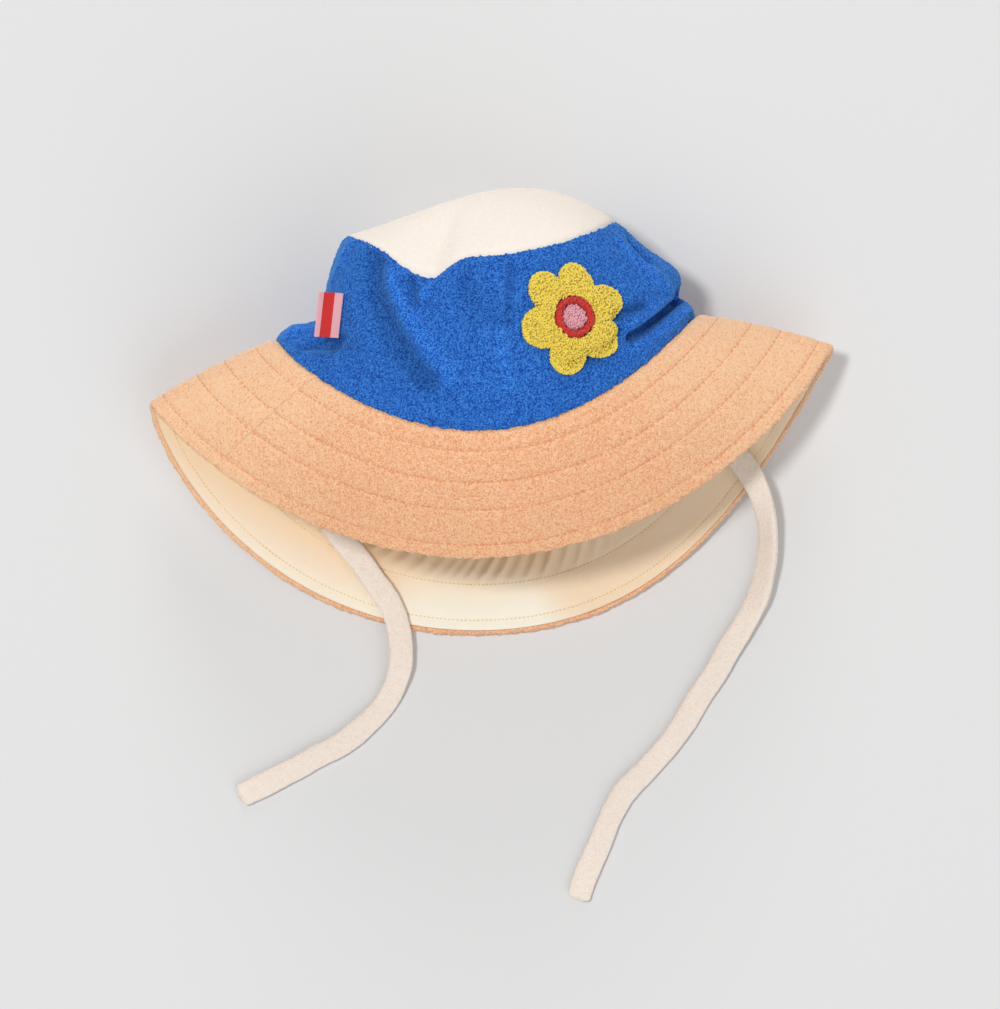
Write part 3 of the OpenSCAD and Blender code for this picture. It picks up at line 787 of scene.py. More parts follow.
def crease_push(a, t):
    """Push of all creases at a place on the crown panels, which the middle of the flower patch holds flat."""
    x = turn(a, 0) * PANEL_MM_PER_DEGREE
    y = t * PANEL_LEN
    total = np.zeros_like(x)
    for line, width, push in CREASES:
        nearest = np.full_like(x, np.inf)
        corners = [(p * PANEL_MM_PER_DEGREE, q * PANEL_LEN) for p, q in line]
        for (x0, y0), (x1, y1) in zip(corners, corners[1:]):
            length2 = (x1 - x0) ** 2 + (y1 - y0) ** 2
            k = np.clip(((x - x0) * (x1 - x0) + (y - y0) * (y1 - y0)) / length2, 0, 1)
            nearest = np.minimum(nearest, np.hypot(x - x0 - k * (x1 - x0), y - y0 - k * (y1 - y0)))
        total += push * bell(nearest / width)
    from_flower = np.hypot(x - FLOWER_AT * PANEL_MM_PER_DEGREE, y - FLOWER_SHARE * PANEL_LEN)
    total = total * ease((from_flower - FLOWER_FLAT) / FLOWER_FADE)
    return total * ease(y / CREASE_FADE) * ease((PANEL_LEN - y) / CREASE_FADE)


def creased_face(a, t):
    """The crown panels with their creases."""
    a, t = grids(a, t)
    return panel_face(a, t) + crease_push(a, t)[..., None] * panel_normal(a, t)


# Crown
TERRY_STEP = 0.48
BACK_STEP = 0.8
TIP_STEP = 0.55
TIP_HOLE = 0.004
CROWN_PILE = 0.62
TIP_PILE = 0.2
SPILL_REACH = 1.3


def half_range(front):
    """First and last angle of the front or the back half."""
    return SIDE_SEAMS if front else (SIDE_SEAMS[1], SIDE_SEAMS[0] + 360)


def crown_panel(name, front, step, seed):
    angles = even_angles(panel_face, 0.5, *half_range(front), step)
    rows = np.linspace(0, 1, int(PANEL_LEN / step))
    a, t = cross_grid(angles, rows)
    base = creased_face(a, t)
    length = np.linalg.norm(tip_loop(a) - seam_loop(a), axis=-1)
    lift, loop = pile(base, seed, CROWN_PILE)
    lift -= 0.5 * (seam_dip(t * length) + seam_dip((1 - t) * length))
    lift -= 0.5 * seam_dip(side_distance(a, PANEL_MM_PER_DEGREE))
    spill = fringe(base, 25) * (bell((1 - t) * length / SPILL_REACH) - bell(t * length / SPILL_REACH))
    up = unit(panel_face(a, t + SHARE_STEP) - panel_face(a, t - SHARE_STEP))
    outer = on_floor(base + lift[..., None] * panel_normal(a, t) + spill[..., None] * up)
    inner = sunk(creased_face, panel_way, *cross_grid(angles, np.linspace(0, 1, 36)), TERRY_T)
    # Painted light and shade for the creases: ridges lighter, valleys darker.
    fold = np.clip(crease_push(a, t) / PAINTED_FOLD_SHADE_PUSH, -1, 1)
    hat_cloth(name, *ply(outer, inner), BLUE_TERRY, "blue_terry", loop=loop, fold=fold)


def crown_tip():
    angles = even_angles(tip_face, 1.0, 0, 360, TIP_STEP)[:-1]
    rows = np.linspace(TIP_HOLE, 1, int(TIP_W / 2 / TIP_STEP))
    a, r = cross_grid(angles, rows)
    base = tip_face(a, r)
    radius = np.linalg.norm(tip_loop(a) - TIP_MID, axis=-1)
    lift, loop = pile(base, 31, TIP_PILE)
    lift -= 1.3 * seam_dip((1 - r) * radius)
    outer = on_floor(base + lift[..., None] * tip_normal(a, r))
    inner = sunk(tip_face, tip_way, *cross_grid(angles, np.linspace(TIP_HOLE, 1, 10)), TERRY_T)
    closed = ply(outer[:, ::-1], inner[:, ::-1], loop=True)
    hat_cloth("crown_tip", *closed, CREAM_TERRY, "cream_terry", loop=loop[:, ::-1])


# Brim
GROOVE_DEPTH = 0.42
GROOVE_REACH = 1.0
EDGE_R = UNDER[1] / 2
EDGE_OUT = 1.3
EDGE_LIP = 1.8
EDGE_TUFT = 1.2
EDGE_TUFT_REACH = 1.6
BRIM_LINE = 0.6
BRIM_MM_PER_DEGREE = 2.0
BRIM_PILE = 0.42
BRIM_PILE_SIZE = 0.85


def brim_profile(step):
    """Shares and depths across the brim's terry: over its top, round its edge and a little way under it."""
    straight = np.arange(0, BRIM_LEN - EDGE_OUT, step)
    arc = np.linspace(0, np.pi, 13)
    across = np.concatenate([straight, BRIM_LEN - EDGE_OUT + EDGE_OUT * np.sin(arc)])
    depth = np.concatenate([0 * straight, EDGE_R - EDGE_R * np.cos(arc)])
    lip = np.linspace(BRIM_LEN - EDGE_OUT - 0.2, BRIM_LEN - EDGE_LIP, 2)
    return np.concatenate([across, lip]) / BRIM_LEN, np.concatenate([depth, np.full(2, 2 * EDGE_R)])


def row_groove(s):
    """How far the stitch rows press into the cloth."""
    return sum(GROOVE_DEPTH * bell((s - row) * BRIM_LEN / GROOVE_REACH) for row in STITCH_ROWS)


# Painted sheen: the brim's pile is painted paler towards its two sides, where it catches the light.
PAINTED_SHEEN_MOST = 0.1
PAINTED_SHEEN_FROM = 24
PAINTED_SHEEN_SPAN = 40
PAINTED_SHEEN_PATCHES = 0.35
PAINTED_SHEEN_PATCH_SIZE = 14


def wornness(a, s):
    """How much the pile is painted paler, as painted sheen: most at the brim's two sides, in soft patches."""
    off_centre = np.minimum(np.abs(turn(a, 0)), np.abs(turn(a, 180)))
    place_at = xyz(off_centre * 1.7, 40 * s, 0)
    patches = PAINTED_SHEEN_PATCHES * noise(place_at, PAINTED_SHEEN_PATCH_SIZE, 81)
    return PAINTED_SHEEN_MOST * np.clip(ease((off_centre - PAINTED_SHEEN_FROM) / PAINTED_SHEEN_SPAN) * (1 + patches), 0, 1.2)


def brim_top(name, front, step, seed):
    angles = even_angles(brim_face, BRIM_LINE, *half_range(front), step)
    shares, depths = brim_profile(step)
    a, s = cross_grid(angles, shares)
    depth = np.broadcast_to(depths, s.shape)
    base = sunk(brim_face, brim_way, a, s, depth[..., None])
    round_edge = np.clip(depth / (2 * EDGE_R), 0, 1)[..., None]
    along_edge = unit(edge_loop(a) - seam_loop(a))
    out = brim_normal(a, s) * (1 - 2 * round_edge) + along_edge * 4 * round_edge * (1 - round_edge)
    lift, loop = pile(base, seed, BRIM_PILE, BRIM_PILE_SIZE)
    lift *= 1 + EDGE_TUFT * bell((1 - s) * BRIM_LEN / EDGE_TUFT_REACH)
    top = depth < 0.01
    lift -= np.where(top, 1.3 * seam_dip(s * BRIM_LEN) + row_groove(s), 0)
    lift -= 0.35 * seam_dip(side_distance(a, BRIM_MM_PER_DEGREE))
    outer = on_floor(base + lift[..., None] * unit(out))
    inner_shares = np.linspace(0, 1 - EDGE_LIP / BRIM_LEN, 9)
    inner = sunk(brim_face, brim_way, *cross_grid(angles, inner_shares), TERRY_T)
    hat_cloth(name, *ply(outer, inner), ORANGE_TERRY, "orange_terry", loop=loop, worn=wornness(a, s))


SEAM_GAP = 0.002
UNDER_FRONT_STEP = 1.3
UNDER_BACK_STEP = 0.9
UNDER_EDGE = 1 - (EDGE_LIP + 0.1) / BRIM_LEN
GATHER_PITCH = (5.6, 3.1)
GATHER_HEIGHT = 1.8
GATHER_SPAN = 66
GATHER_SLANT = 31
GATHER_END = 0.65
GATHER_MM_PER_DEGREE = 1.7
GATHER_WANDER = 4.2
GATHER_FADE = 22
GATHER_RUN_OUT = 0.22


def gathers(a, share, reach):
    """Soft uneven pleats at the back of the head, where the elastic draws the cloth together."""
    at = turn(a, BACK_AT)
    across = at * GATHER_MM_PER_DEGREE - GATHER_SLANT * share
    place_at = xyz(across, 8 * share, 0)
    wander = GATHER_WANDER * noise(place_at, 17, 71)
    broad, fine = (0.5 + 0.5 * np.sin(2 * np.pi * across / pitch + wander) for pitch in GATHER_PITCH)
    mix = 0.5 + 0.5 * noise(place_at, 23, 73)
    pleat = broad ** 1.3 * (1 - 0.6 * mix) + 0.5 * fine ** 2 * mix
    strength = ease((GATHER_SPAN - np.abs(at)) / GATHER_FADE)
    strength = strength * ease((reach - share) / (GATHER_RUN_OUT * reach))
    return GATHER_HEIGHT * strength * pleat * (0.7 + 0.75 * noise(place_at, 9, 72))


FRONT_ANGLES = np.linspace(-90, 90, 181)
# Painted shade under the brim: how far it reaches ahead of the front brim's edge, how strong it gets, how it
# falls off, and the height above which none is painted
PAINTED_SHADE_REACH = 12.5
PAINTED_SHADE_MOST = 0.85
PAINTED_SHADE_SLOPE = 0.9
PAINTED_SHADE_BELOW = 60
# Where the painted shade begins to widen, over what stretch and by how much, on the right and on the left
PAINTED_SHADE_RIGHT = (8, 34, 40)
PAINTED_SHADE_LEFT = (30, 30, 9)
# How much paler the painted shade is close to the front edge on the right, and how far from it
PAINTED_SHADE_PALER = (0.25, 16)


def deepness(points):
    """How much shade is painted on a place under the brim, as the hat's own shade: most below the front brim.
    """
    x, y, z = np.moveaxis(points, -1, 0)
    edge = edge_loop(FRONT_ANGLES)
    ahead = np.interp(x, edge[:, 0], edge[:, 1]) - y
    right = ease((x - PAINTED_SHADE_RIGHT[0]) / PAINTED_SHADE_RIGHT[1])
    left = ease((-x - PAINTED_SHADE_LEFT[0]) / PAINTED_SHADE_LEFT[1])
    reach = PAINTED_SHADE_REACH + PAINTED_SHADE_LEFT[2] * left + PAINTED_SHADE_RIGHT[2] * right
    most = PAINTED_SHADE_MOST - PAINTED_SHADE_PALER[0] * right * bell(np.maximum(ahead, 0) / PAINTED_SHADE_PALER[1])
    return most * bell(np.maximum(PAINTED_SHADE_SLOPE * ahead, 0) / reach) * (z < PAINTED_SHADE_BELOW)


def brim_under(name, front, step):
    angles = even_angles(brim_face, BRIM_LINE, *half_range(front), step)
    shares = np.linspace(SEAM_GAP, UNDER_EDGE, int(BRIM_LEN / step))
    a, s = cross_grid(angles, shares)
    way = brim_way(a, s)
    lift = gathers(a, s, GATHER_END) - 0.5 * row_groove(s)
    lift -= 0.25 * seam_dip(side_distance(a, BRIM_MM_PER_DEGREE))
    base = brim_face(a, s) - UNDER[1] * way
    lift += wrinkles(base, 0.22, 14, 41)
    shown = base - lift[..., None] * way
    hidden = sunk(brim_face, brim_way, *cross_grid(angles, np.linspace(SEAM_GAP, UNDER_EDGE, 9)), UNDER[0])
    # The cotton under the brim gets painted shade, most below the front brim.
    hat_cloth(name, *ply(shown, hidden), CREAM_COTTON, "cream_cotton", deep=deepness(shown))


def brim_interlining(name, front):
    angles = even_angles(brim_face, BRIM_LINE, *half_range(front), 3)
    a, s = cross_grid(angles, np.linspace(2 * SEAM_GAP, UNDER_EDGE, 20))
    way = brim_way(a, s)
    plies = []
    for depth in INTERLINING:
        points = brim_face(a, s) - depth * way
        plies.append(points - 0.06 * noise(points, 3, 51)[..., None] * way)
    hat_cloth(name, *ply(*plies), FELT, "interlining")


# Lining
LINING_GATHERS = 0.42
RIB_HEIGHT = 0.08
RIB_PITCH = 3.0
WEB_INSET = 0.1


def lining_panel(name, front):
    angles = even_angles(panel_face, 0.5, *half_range(front), 1.4)
    a, t = cross_grid(angles, np.linspace(SEAM_GAP, 1 - SEAM_GAP, 50))
    way = panel_way(a, t)
    base = creased_face(a, t) - LINING[1] * way
    lift = gathers(a, t, LINING_GATHERS) + wrinkles(base, 0.3, 12, 61)
    lift -= 0.3 * seam_dip(side_distance(a, PANEL_MM_PER_DEGREE))
    shown = base - lift[..., None] * way
    hidden_shares = np.linspace(SEAM_GAP, 1 - SEAM_GAP, 36)
    hidden = sunk(creased_face, panel_way, *cross_grid(angles, hidden_shares), LINING[0])
    # The whole lining gets painted shade at its strongest, for the inside of the crown.
    painted_shade_level = np.full(a.shape, PAINTED_SHADE_MOST)
    hat_cloth(name, *ply(shown, hidden), CREAM_COTTON, "cream_cotton", deep=painted_shade_level)


def lining_tip():
    a, r = cross_grid(np.arange(0, 360, 1.5), np.linspace(0.01, 1 - SEAM_GAP, 42)[::-1])
    way = tip_way(a, r)
    base = tip_face(a, r) - LINING[1] * way
    shown = base - wrinkles(base, 0.35, 13, 63)[..., None] * way
    hidden = tip_face(a, r) - LINING[0] * way
    # The whole lining tip gets painted shade at its strongest, for the inside of the crown.
    painted_shade_level = np.full(a.shape, PAINTED_SHADE_MOST)
    hat_cloth("lining_tip", *ply(shown, hidden, loop=True), CREAM_COTTON, "cream_cotton", deep=painted_shade_level)


def back_elastic():
    angles = even_angles(panel_face, 0.1, BACK_AT - ELASTIC_SPAN / 2, BACK_AT + ELASTIC_SPAN / 2, 0.8)
    rows = 22
    shares = (ELASTIC_UP + np.linspace(0, ELASTIC_W, rows)) / (BACK_TIP_Y - BACK_SEAM_Y)
    a, t = cross_grid(angles, shares)
    ribs = RIB_HEIGHT * np.sin(2 * np.pi * np.arange(rows) / RIB_PITCH)
    plies = []
    for depth, way in ((ELASTIC[0] + WEB_INSET, 1), (ELASTIC[1] - WEB_INSET, -1)):
        plies.append(sunk(panel_face, panel_way, a, t, (depth - way * ribs)[None, :, None]))
    hat_cloth("back_elastic", *ply(*plies), ELASTIC_WEB, "elastic")


# Stitching
TAPER_TO = 0.97
TAPER_LEAST = 0.06
TOP_STITCH = {"length": 2.3, "gap": 0.5, "sink": 0.55, "bow": 0.32}
UNDER_STITCH = {"length": 1.0, "gap": 0.75, "sink": 0.3, "bow": 0.32}
TOP_THREAD_R = 0.21
UNDER_THREAD_R = 0.18


def tubes(lines, radius, sides=6):
    """Points and faces of closed tubes along lines of shape (count, rings, 3), tapered at their ends."""
    count, rings = lines.shape[:2]
    ways = unit(np.gradient(lines, axis=1))
    ref = np.where(np.abs(ways[..., 2:3]) < 0.9, np.array([0, 0, 1.0]), np.array([1.0, 0, 0]))
    side = unit(np.cross(ways, ref))
    up = np.cross(side, ways)
    q = circle_angles(sides)
    size = radius * np.sqrt(np.clip(1 - np.linspace(-TAPER_TO, TAPER_TO, rings) ** 6, TAPER_LEAST, 1))
    circle = np.cos(q)[:, None] * side[:, :, None, :] + np.sin(q)[:, None] * up[:, :, None, :]
    points = lines[:, :, None, :] + size[None, :, None, None] * circle
    k = np.arange(sides)
    start = (np.arange(count) * rings * sides)[:, None, None]
    ring = (np.arange(rings - 1) * sides)[None, :, None]
    here = start + ring + k
    there = start + ring + (k + 1) % sides
    faces = np.stack([here, there, there + sides, here + sides], axis=-1).reshape(-1, 4).tolist()
    first = (start[:, 0] + k[::-1]).tolist()
    last = (start[:, 0] + (rings - 1) * sides + k).tolist()
    return points.reshape(-1, 3), faces + first + last


def stitch_lines(line, up, length, gap, sink, bow):
    """Short curved lines along a seam: each stitch rises out of the cloth and dives in again."""
    run = run_along(line)
    starts = np.arange(gap, run[-1] - length - gap, length + gap)
    k = np.linspace(0, 1, 6)
    at = starts[:, None] + length * k[None, :]
    points, ups = (
        np.stack([np.interp(at, run, column) for column in values.T], axis=-1) for values in (line, up)
    )
    height = bow * np.sqrt(np.clip(1 - (2 * k - 1) ** 2, 0, 1)) - sink
    return points + height[None, :, None] * ups


def brim_stitches(name, front, under):
    """The rows of stitches of half the brim, on its terry or on its underside."""
    a = np.linspace(*half_range(front), 1200)
    groups = []
    for row in STITCH_ROWS:
        s = np.full_like(a, row)
        way = brim_way(a, s)
        line = brim_face(a, s)
        if under:
            line = line - (UNDER[1] + gathers(a, s, GATHER_END))[:, None] * way
            groups.append(stitch_lines(line, -way, **UNDER_STITCH))
        else:
            groups.append(stitch_lines(line, way, **TOP_STITCH))
    points, faces = tubes(np.concatenate(groups), UNDER_THREAD_R if under else TOP_THREAD_R)
    add_piece(name, points, faces, OCHRE_THREAD if under else ORANGE_THREAD, "hat", "thread")


# Chin ties
def tie_root(side):
    a = np.array(FRONT_AT + 90.0 * side)
    depth = TIE_LIFT + (HANG_GAP if side < 0 else 0)
    return brim_face(a, TIE_ROOT_SHARE) - depth * brim_normal(a, np.array(TIE_ROOT_SHARE))


def tie_route(side):
    """The given route of a tie and its lean, scaled so that the tie has its length."""
    rows = np.array(LEFT_ROUTE if side < 0 else RIGHT_ROUTE, float)
    root = tie_root(side)
    drawn = np.concatenate([[[0, 0, root[2] - TIE_FLAT_H]], rows[:, :3]])
    scale = TIE_LEN / np.linalg.norm(np.diff(drawn, axis=0), axis=1).sum()
    points = np.column_stack([root[:2] + scale * rows[:, :2], TIE_FLAT_H + rows[:, 2]])
    return np.concatenate([[root], points]), np.concatenate([[0], rows[:, 3]])


def tie_axes(side):
    """Directions of a tie at its root: along it, across it along the seam, and up from its face."""
    route, _ = tie_route(side)
    a = FRONT_AT + 90.0 * side
    seam = unit(seam_loop(np.array(a + 1)) - seam_loop(np.array(a - 1)))
    leg = route[1] - route[0]
    way = unit(leg - (leg @ seam) * seam)
    up = -side * np.cross(way, seam)
    return way, unit(np.cross(up, way)), up


def curve_through(values, per_span):
    """Smooth curve through rows of values, with per_span steps between them."""
    ends = np.concatenate([[2 * values[0] - values[1]], values, [2 * values[-1] - values[-2]]])
    u = np.linspace(0, 1, per_span, endpoint=False)[:, None]
    spans = []
    for p0, p1, p2, p3 in zip(ends, ends[1:], ends[2:], ends[3:]):
        spans.append(0.5 * (2 * p1 + (p2 - p0) * u + (2 * p0 - 5 * p1 + 4 * p2 - p3) * u ** 2
                            + (3 * p1 - p0 - 3 * p2 + p3) * u ** 3))
    return np.concatenate(spans + [values[-1:]])


SIDE_WORDS = {-1: "left", 1: "right"}
TIE_SIDES = 36
TIE_ROUND = 2.2
TIE_START_ROUND = 1.2
TIE_PILE = 0.2
TIE_SWAY = 0.035
TIE_SEAM = 0.35
TIE_SEAM_SPAN = 0.16
TIE_STITCHED_AT = 4.2
TIE_STITCHED = 0.45
TACK_SIDES = 14
WIND_STEP = 0.09
WIND_DEPTH = 0.14
WIND_PITCH = 5


def rounded(distance, reach, least):
    """Share of the full size at a distance from a rounded end."""
    return np.sqrt(np.clip(1 - (1 - np.clip(distance / reach, 0, 1)) ** 2, least, 1))


def chin_tie(side):
    """A flat tube of terry, turned through, with a seam down one edge and a sewn end."""
    word = SIDE_WORDS[side]
    name = f"chin_tie_{word}"
    route, leans = tie_route(side)
    _, _, root_up = tie_axes(side)
    k = np.clip(np.arange(len(route)) / 4, 0, 1)[:, None]
    ups = root_up * (1 - k) + np.array([0, 0, 1.0]) * k
    track = curve_through(np.column_stack([route, ups, leans]), 12)
    line = track[:, :3]
    ways = unit(np.gradient(line, axis=0))
    across = unit(np.cross(unit(track[:, 3:6]), ways))
    over = np.cross(ways, across)
    lean = np.radians(track[:, 6])[:, None]
    width_way = across * np.cos(lean) + over * np.sin(lean)
    face_way = over * np.cos(lean) - across * np.sin(lean)
    run = run_along(line)
    left = run[-1] - run
    end = rounded(left, TIE_ROUND, 0.02)
    start = rounded(run, TIE_START_ROUND, 0.3)
    sway = 1 + TIE_SWAY * noise(xyz(run, 0, side), 14, 81)
    half_w = TIE_W / 2 * (0.35 + 0.65 * end) * start * sway
    half_t = TIE_T / 2 * end * start
    q = circle_angles(TIE_SIDES)
    x = np.sign(np.cos(q)) * np.abs(np.cos(q)) ** 0.6
    y = np.sign(np.sin(q)) * np.abs(np.sin(q)) ** 0.75 * (0.84 + 0.16 * np.abs(np.cos(q)))
    ring = half_w[:, None, None] * x[None, :, None] * width_way[:, None]
    ring = ring + half_t[:, None, None] * y[None, :, None] * face_way[:, None]
    points = line[:, None] + ring
    out = unit(ring)
    press, loop = pile(points, 91 + side, TIE_PILE)
    press = press + 0.14 * noise(points, 5, 95)
    seam_groove = TIE_SEAM * bell(q / TIE_SEAM_SPAN) + TIE_SEAM * bell((q - 2 * np.pi) / TIE_SEAM_SPAN)
    stitched_end = TIE_STITCHED * bell((left - TIE_STITCHED_AT) / 0.7)
    lift = press - seam_groove[None, :] - stitched_end[:, None] * np.abs(np.sin(q))[None, :]
    points = on_floor(points + (lift * end[:, None])[..., None] * out)
    faces = tube_faces(*points.shape[:2])
    flat = points.reshape(-1, 3)
    piece = add_piece(name, flat, faces, TIE_TERRY, f"tie_{word}", "tie_terry", (name,), loop=loop)


def bar_tack(side):
    """A bar of closely wound thread behind the root of a tie, with an end down each of its edges."""
    way, across, _ = tie_axes(side)
    half_w = TIE_W / 2 + TACK_SIDE + TACK_T / 2
    back = TACK_BACK + TACK_T / 2
    corners = [(-half_w, TACK_W), (-half_w, -back), (half_w, -back), (half_w, TACK_W)]
    knots = []
    for (x0, y0), (x1, y1) in zip(corners, corners[1:]):
        steps = int(math.hypot(x1 - x0, y1 - y0) / WIND_STEP)
        u = np.linspace(0, 1, steps, endpoint=False)
        knots.append(np.column_stack([x0 + (x1 - x0) * u, y0 + (y1 - y0) * u]))
    flat = np.concatenate(knots)
    for _ in range(20):
        flat[1:-1] = (flat[:-2] + 2 * flat[1:-1] + flat[2:]) / 4
    line = tie_root(side) + flat[:, :1] * across + flat[:, 1:] * way
    ways = unit(np.gradient(line, axis=0))
    up = unit(np.cross(way, across))
    beside = unit(np.cross(ways, up))
    q = circle_angles(TACK_SIDES)
    knot = np.arange(len(line))
    wound = 1 + WIND_DEPTH * np.sin(2 * np.pi * knot[:, None] / WIND_PITCH + q[None, :])
    ends = np.clip(np.minimum(knot, knot[::-1]) / 4, 0.25, 1)
    size = TACK_T / 2 * wound * ends[:, None]
    ring = np.cos(q)[None, :, None] * beside[:, None] * size[..., None]
    ring = ring + np.sin(q)[None, :, None] * up * (size * TACK_W / TACK_T)[..., None]
    points = (line[:, None] + ring).reshape(-1, 3)
    faces = tube_faces(len(line), TACK_SIDES)
    hat_cloth(f"bar_tack_{SIDE_WORDS[side]}", points, faces, CREAM_THREAD, "thread")


# Side label
STRIPE = (0.34, 0.8)
LABEL_REACH = 0.94
LABEL_RIPPLE = 0.22
LABEL_HEM = 0.12


def side_label():
    """A folded woven tab with one plain stripe, standing out of the side seam."""
    a = np.array(float(LABEL_AT))
    foot = panel_face(a, LABEL_SHARE) + LABEL_LIFT * panel_normal(a, np.array(LABEL_SHARE))
    along = unit(panel_face(a, LABEL_SHARE + 0.15) - panel_face(a, LABEL_SHARE - 0.15))
    way = np.array([-1, 0, 0.1])
    way = unit(way - (way @ along) * along)
    face = np.cross(way, along)
    tilt = math.radians(LABEL_TILT)
    way, along = way * math.cos(tilt) - along * math.sin(tilt), along * math.cos(tilt) + way * math.sin(tilt)
    bend = np.radians(np.linspace(-90, 90, 13))
    loops = []
    for radius in (LABEL_THICK / 2, LABEL_THICK / 2 - LABEL_T):
        straight = np.linspace(0, LABEL_OUT - LABEL_THICK / 2, 26)[:-1]
        x = np.concatenate([straight, LABEL_OUT - LABEL_THICK / 2 + radius * np.cos(bend), straight[::-1]])
        y = np.concatenate([0 * straight - radius, radius * np.sin(bend), 0 * straight + radius])
        loops.append((x, y))
    z = np.linspace(-LABEL_LEN / 2, LABEL_LEN / 2, 60)
    sheets = []
    for x, y in loops:
        wave = LABEL_RIPPLE * np.sin(z[None, :] * 0.34 + 0.6) * (x[:, None] / LABEL_OUT) ** 1.5
        wave = wave - LABEL_CURL * (x[:, None] / LABEL_OUT) ** 2
        hem = LABEL_HEM * bell((np.abs(z[None, :]) - LABEL_LEN / 2) / 0.5) * np.sign(y)[:, None]
        flat = foot + LABEL_REACH * x[:, None, None] * way + (y[:, None] + wave + hem)[..., None] * face
        sheets.append(flat + (z + LABEL_UP)[None, :, None] * along)
    points, faces = ply(*sheets)
    piece = add_piece("side_label", points, faces, LABEL_PINK, "label", "label_tape", ("side_label",))
    piece.data.materials.append(LABEL_RED)
    start = place(foot)
    for polygon in piece.data.polygons:
        out = (np.array(polygon.center) - start) @ way / MM / (LABEL_REACH * LABEL_OUT)
        polygon.material_index = int(STRIPE[0] < out < STRIPE[1])


# Flower patch
def flower_frame():
    a, t = np.array(float(FLOWER_AT)), np.array(FLOWER_SHARE)
    per_a = (panel_face(a + 1, t) - panel_face(a - 1, t)) / 2
    per_t = (panel_face(a, t + 0.02) - panel_face(a, t - 0.02)) / 0.04
    x = unit(per_a)
    y = unit(per_t - (per_t @ x) * x)
    return x, y, per_a, per_t


def patch_at(r, q, h):
    """A place on the flower, by radius and angle from its middle, at a height above the panel."""
    x_way, y_way, per_a, per_t = flower_frame()
    x, y = r * np.cos(q), r * np.sin(q)
    dt = y / (per_t @ y_way)
    da = (x - (per_t @ x_way) * dt) / np.linalg.norm(per_a)
    a, t = FLOWER_AT + da, FLOWER_SHARE + dt
    way = panel_normal(a, t)
    return creased_face(a, t) + np.asarray(h)[..., None] * way, way


def petal_r(q):
    return FLOWER_D / 2 * (0.64 + 0.36 * np.abs(np.cos(PETALS * q / 2)) ** 0.75)


def petal_h(k):
    """Height of a petal at a share k from the ring to its rim."""
    return PATCH_GAP + FLOWER_T * (0.35 + 0.65 * np.sin(np.pi * (0.15 + 0.8 * k)))


def ring_h(k):
    return PATCH_GAP + RING_CORD * (0.3 + 0.7 * np.sin(np.pi * k))


def centre_h(k):
    return PATCH_GAP + CENTRE_T * (1 - 0.6 * k ** 2)


def steady(r):
    """The same radius at every angle."""
    return lambda q: 0 * q + r


PETAL_IN = RING_D / 2 + PATCH_GAP
RING_R = RING_D / 2
RING_IN = RING_R - RING_CORD
CENTRE_R = RING_IN - PATCH_GAP
LOOP_LEAN = 0.75
LOOP_POINTS = 9
LOOP_RISE = 0.35
LOOP_INSET = 0.3
MOUND_SINK = 0.55
JITTER = 0.3
RIM_LOOPS = 150
RIM_HEIGHTS = (0.9, 2.1)


def boucle(name, spots, ways, material, slot, loop_r, yarn_r, seed, mound):
    """Loops of yarn that stand on a mound of the same yarn."""
    rng = np.random.default_rng(seed)
    count = len(spots)
    lean = unit(ways + LOOP_LEAN * rng.normal(size=(count, 3)))
    first = unit(np.cross(lean, rng.normal(size=(count, 3))))
    second = np.cross(lean, first)
    k = (np.linspace(-0.15, 1.15, LOOP_POINTS) * 1.5 * np.pi)[None, :, None]
    size = loop_r * rng.uniform(0.8, 1.2, count)[:, None, None]
    lines = spots[:, None] + size * (np.cos(k) * first[:, None] + np.sin(k) * second[:, None])
    rise = np.linspace(-LOOP_RISE, LOOP_RISE, LOOP_POINTS)[None, :, None]
    lines = lines + rise * loop_r * lean[:, None]
    points, faces = tubes(lines, yarn_r)
    base_points, base_faces = mound
    shift = len(base_points)
    faces = base_faces + [[i + shift for i in f] for f in faces]
    hat_cloth(name, np.concatenate([base_points, points]), faces, material, slot)


def mound_of(inner_r, outer_r, height, steps, rows, seed):
    """Points and faces of a soft mound between two radii, which may depend on the angle."""
    q, k = cross_grid(circle_angles(steps), np.linspace(0, 1, rows))
    r = inner_r(q) + (outer_r(q) - inner_r(q)) * k
    top, way = patch_at(r, q, height(k) - MOUND_SINK)
    top = top + (0.3 * noise(top, 1.6, seed))[..., None] * way
    low, _ = patch_at(r, q, 0 * r + PATCH_GAP * 0.6)
    return ply(top, low[:, [0, rows // 2, rows - 1]], loop=True)


def scatter(outline, inner, height, pitch, seed):
    """Jittered places, about pitch apart, between two radii of the flower."""
    rng = np.random.default_rng(seed)
    span = np.arange(-FLOWER_D / 2, FLOWER_D / 2, pitch)
    x, y = cross_grid(span, span * 0.9)
    x = x + pitch / 2 * (np.arange(len(span)) % 2)[None, :]
    x = (x + rng.uniform(-JITTER, JITTER, x.shape) * pitch).ravel()
    y = (y + rng.uniform(-JITTER, JITTER, y.shape) * pitch).ravel()
    r, q = np.hypot(x, y), np.arctan2(y, x)
    keep = (r < outline(q)) & (r >= inner)
    r, q = r[keep], q[keep]
    k = (r - inner) / np.maximum(outline(q) - inner, 0.1)
    return patch_at(r, q, height(np.clip(k, 0, 1)))


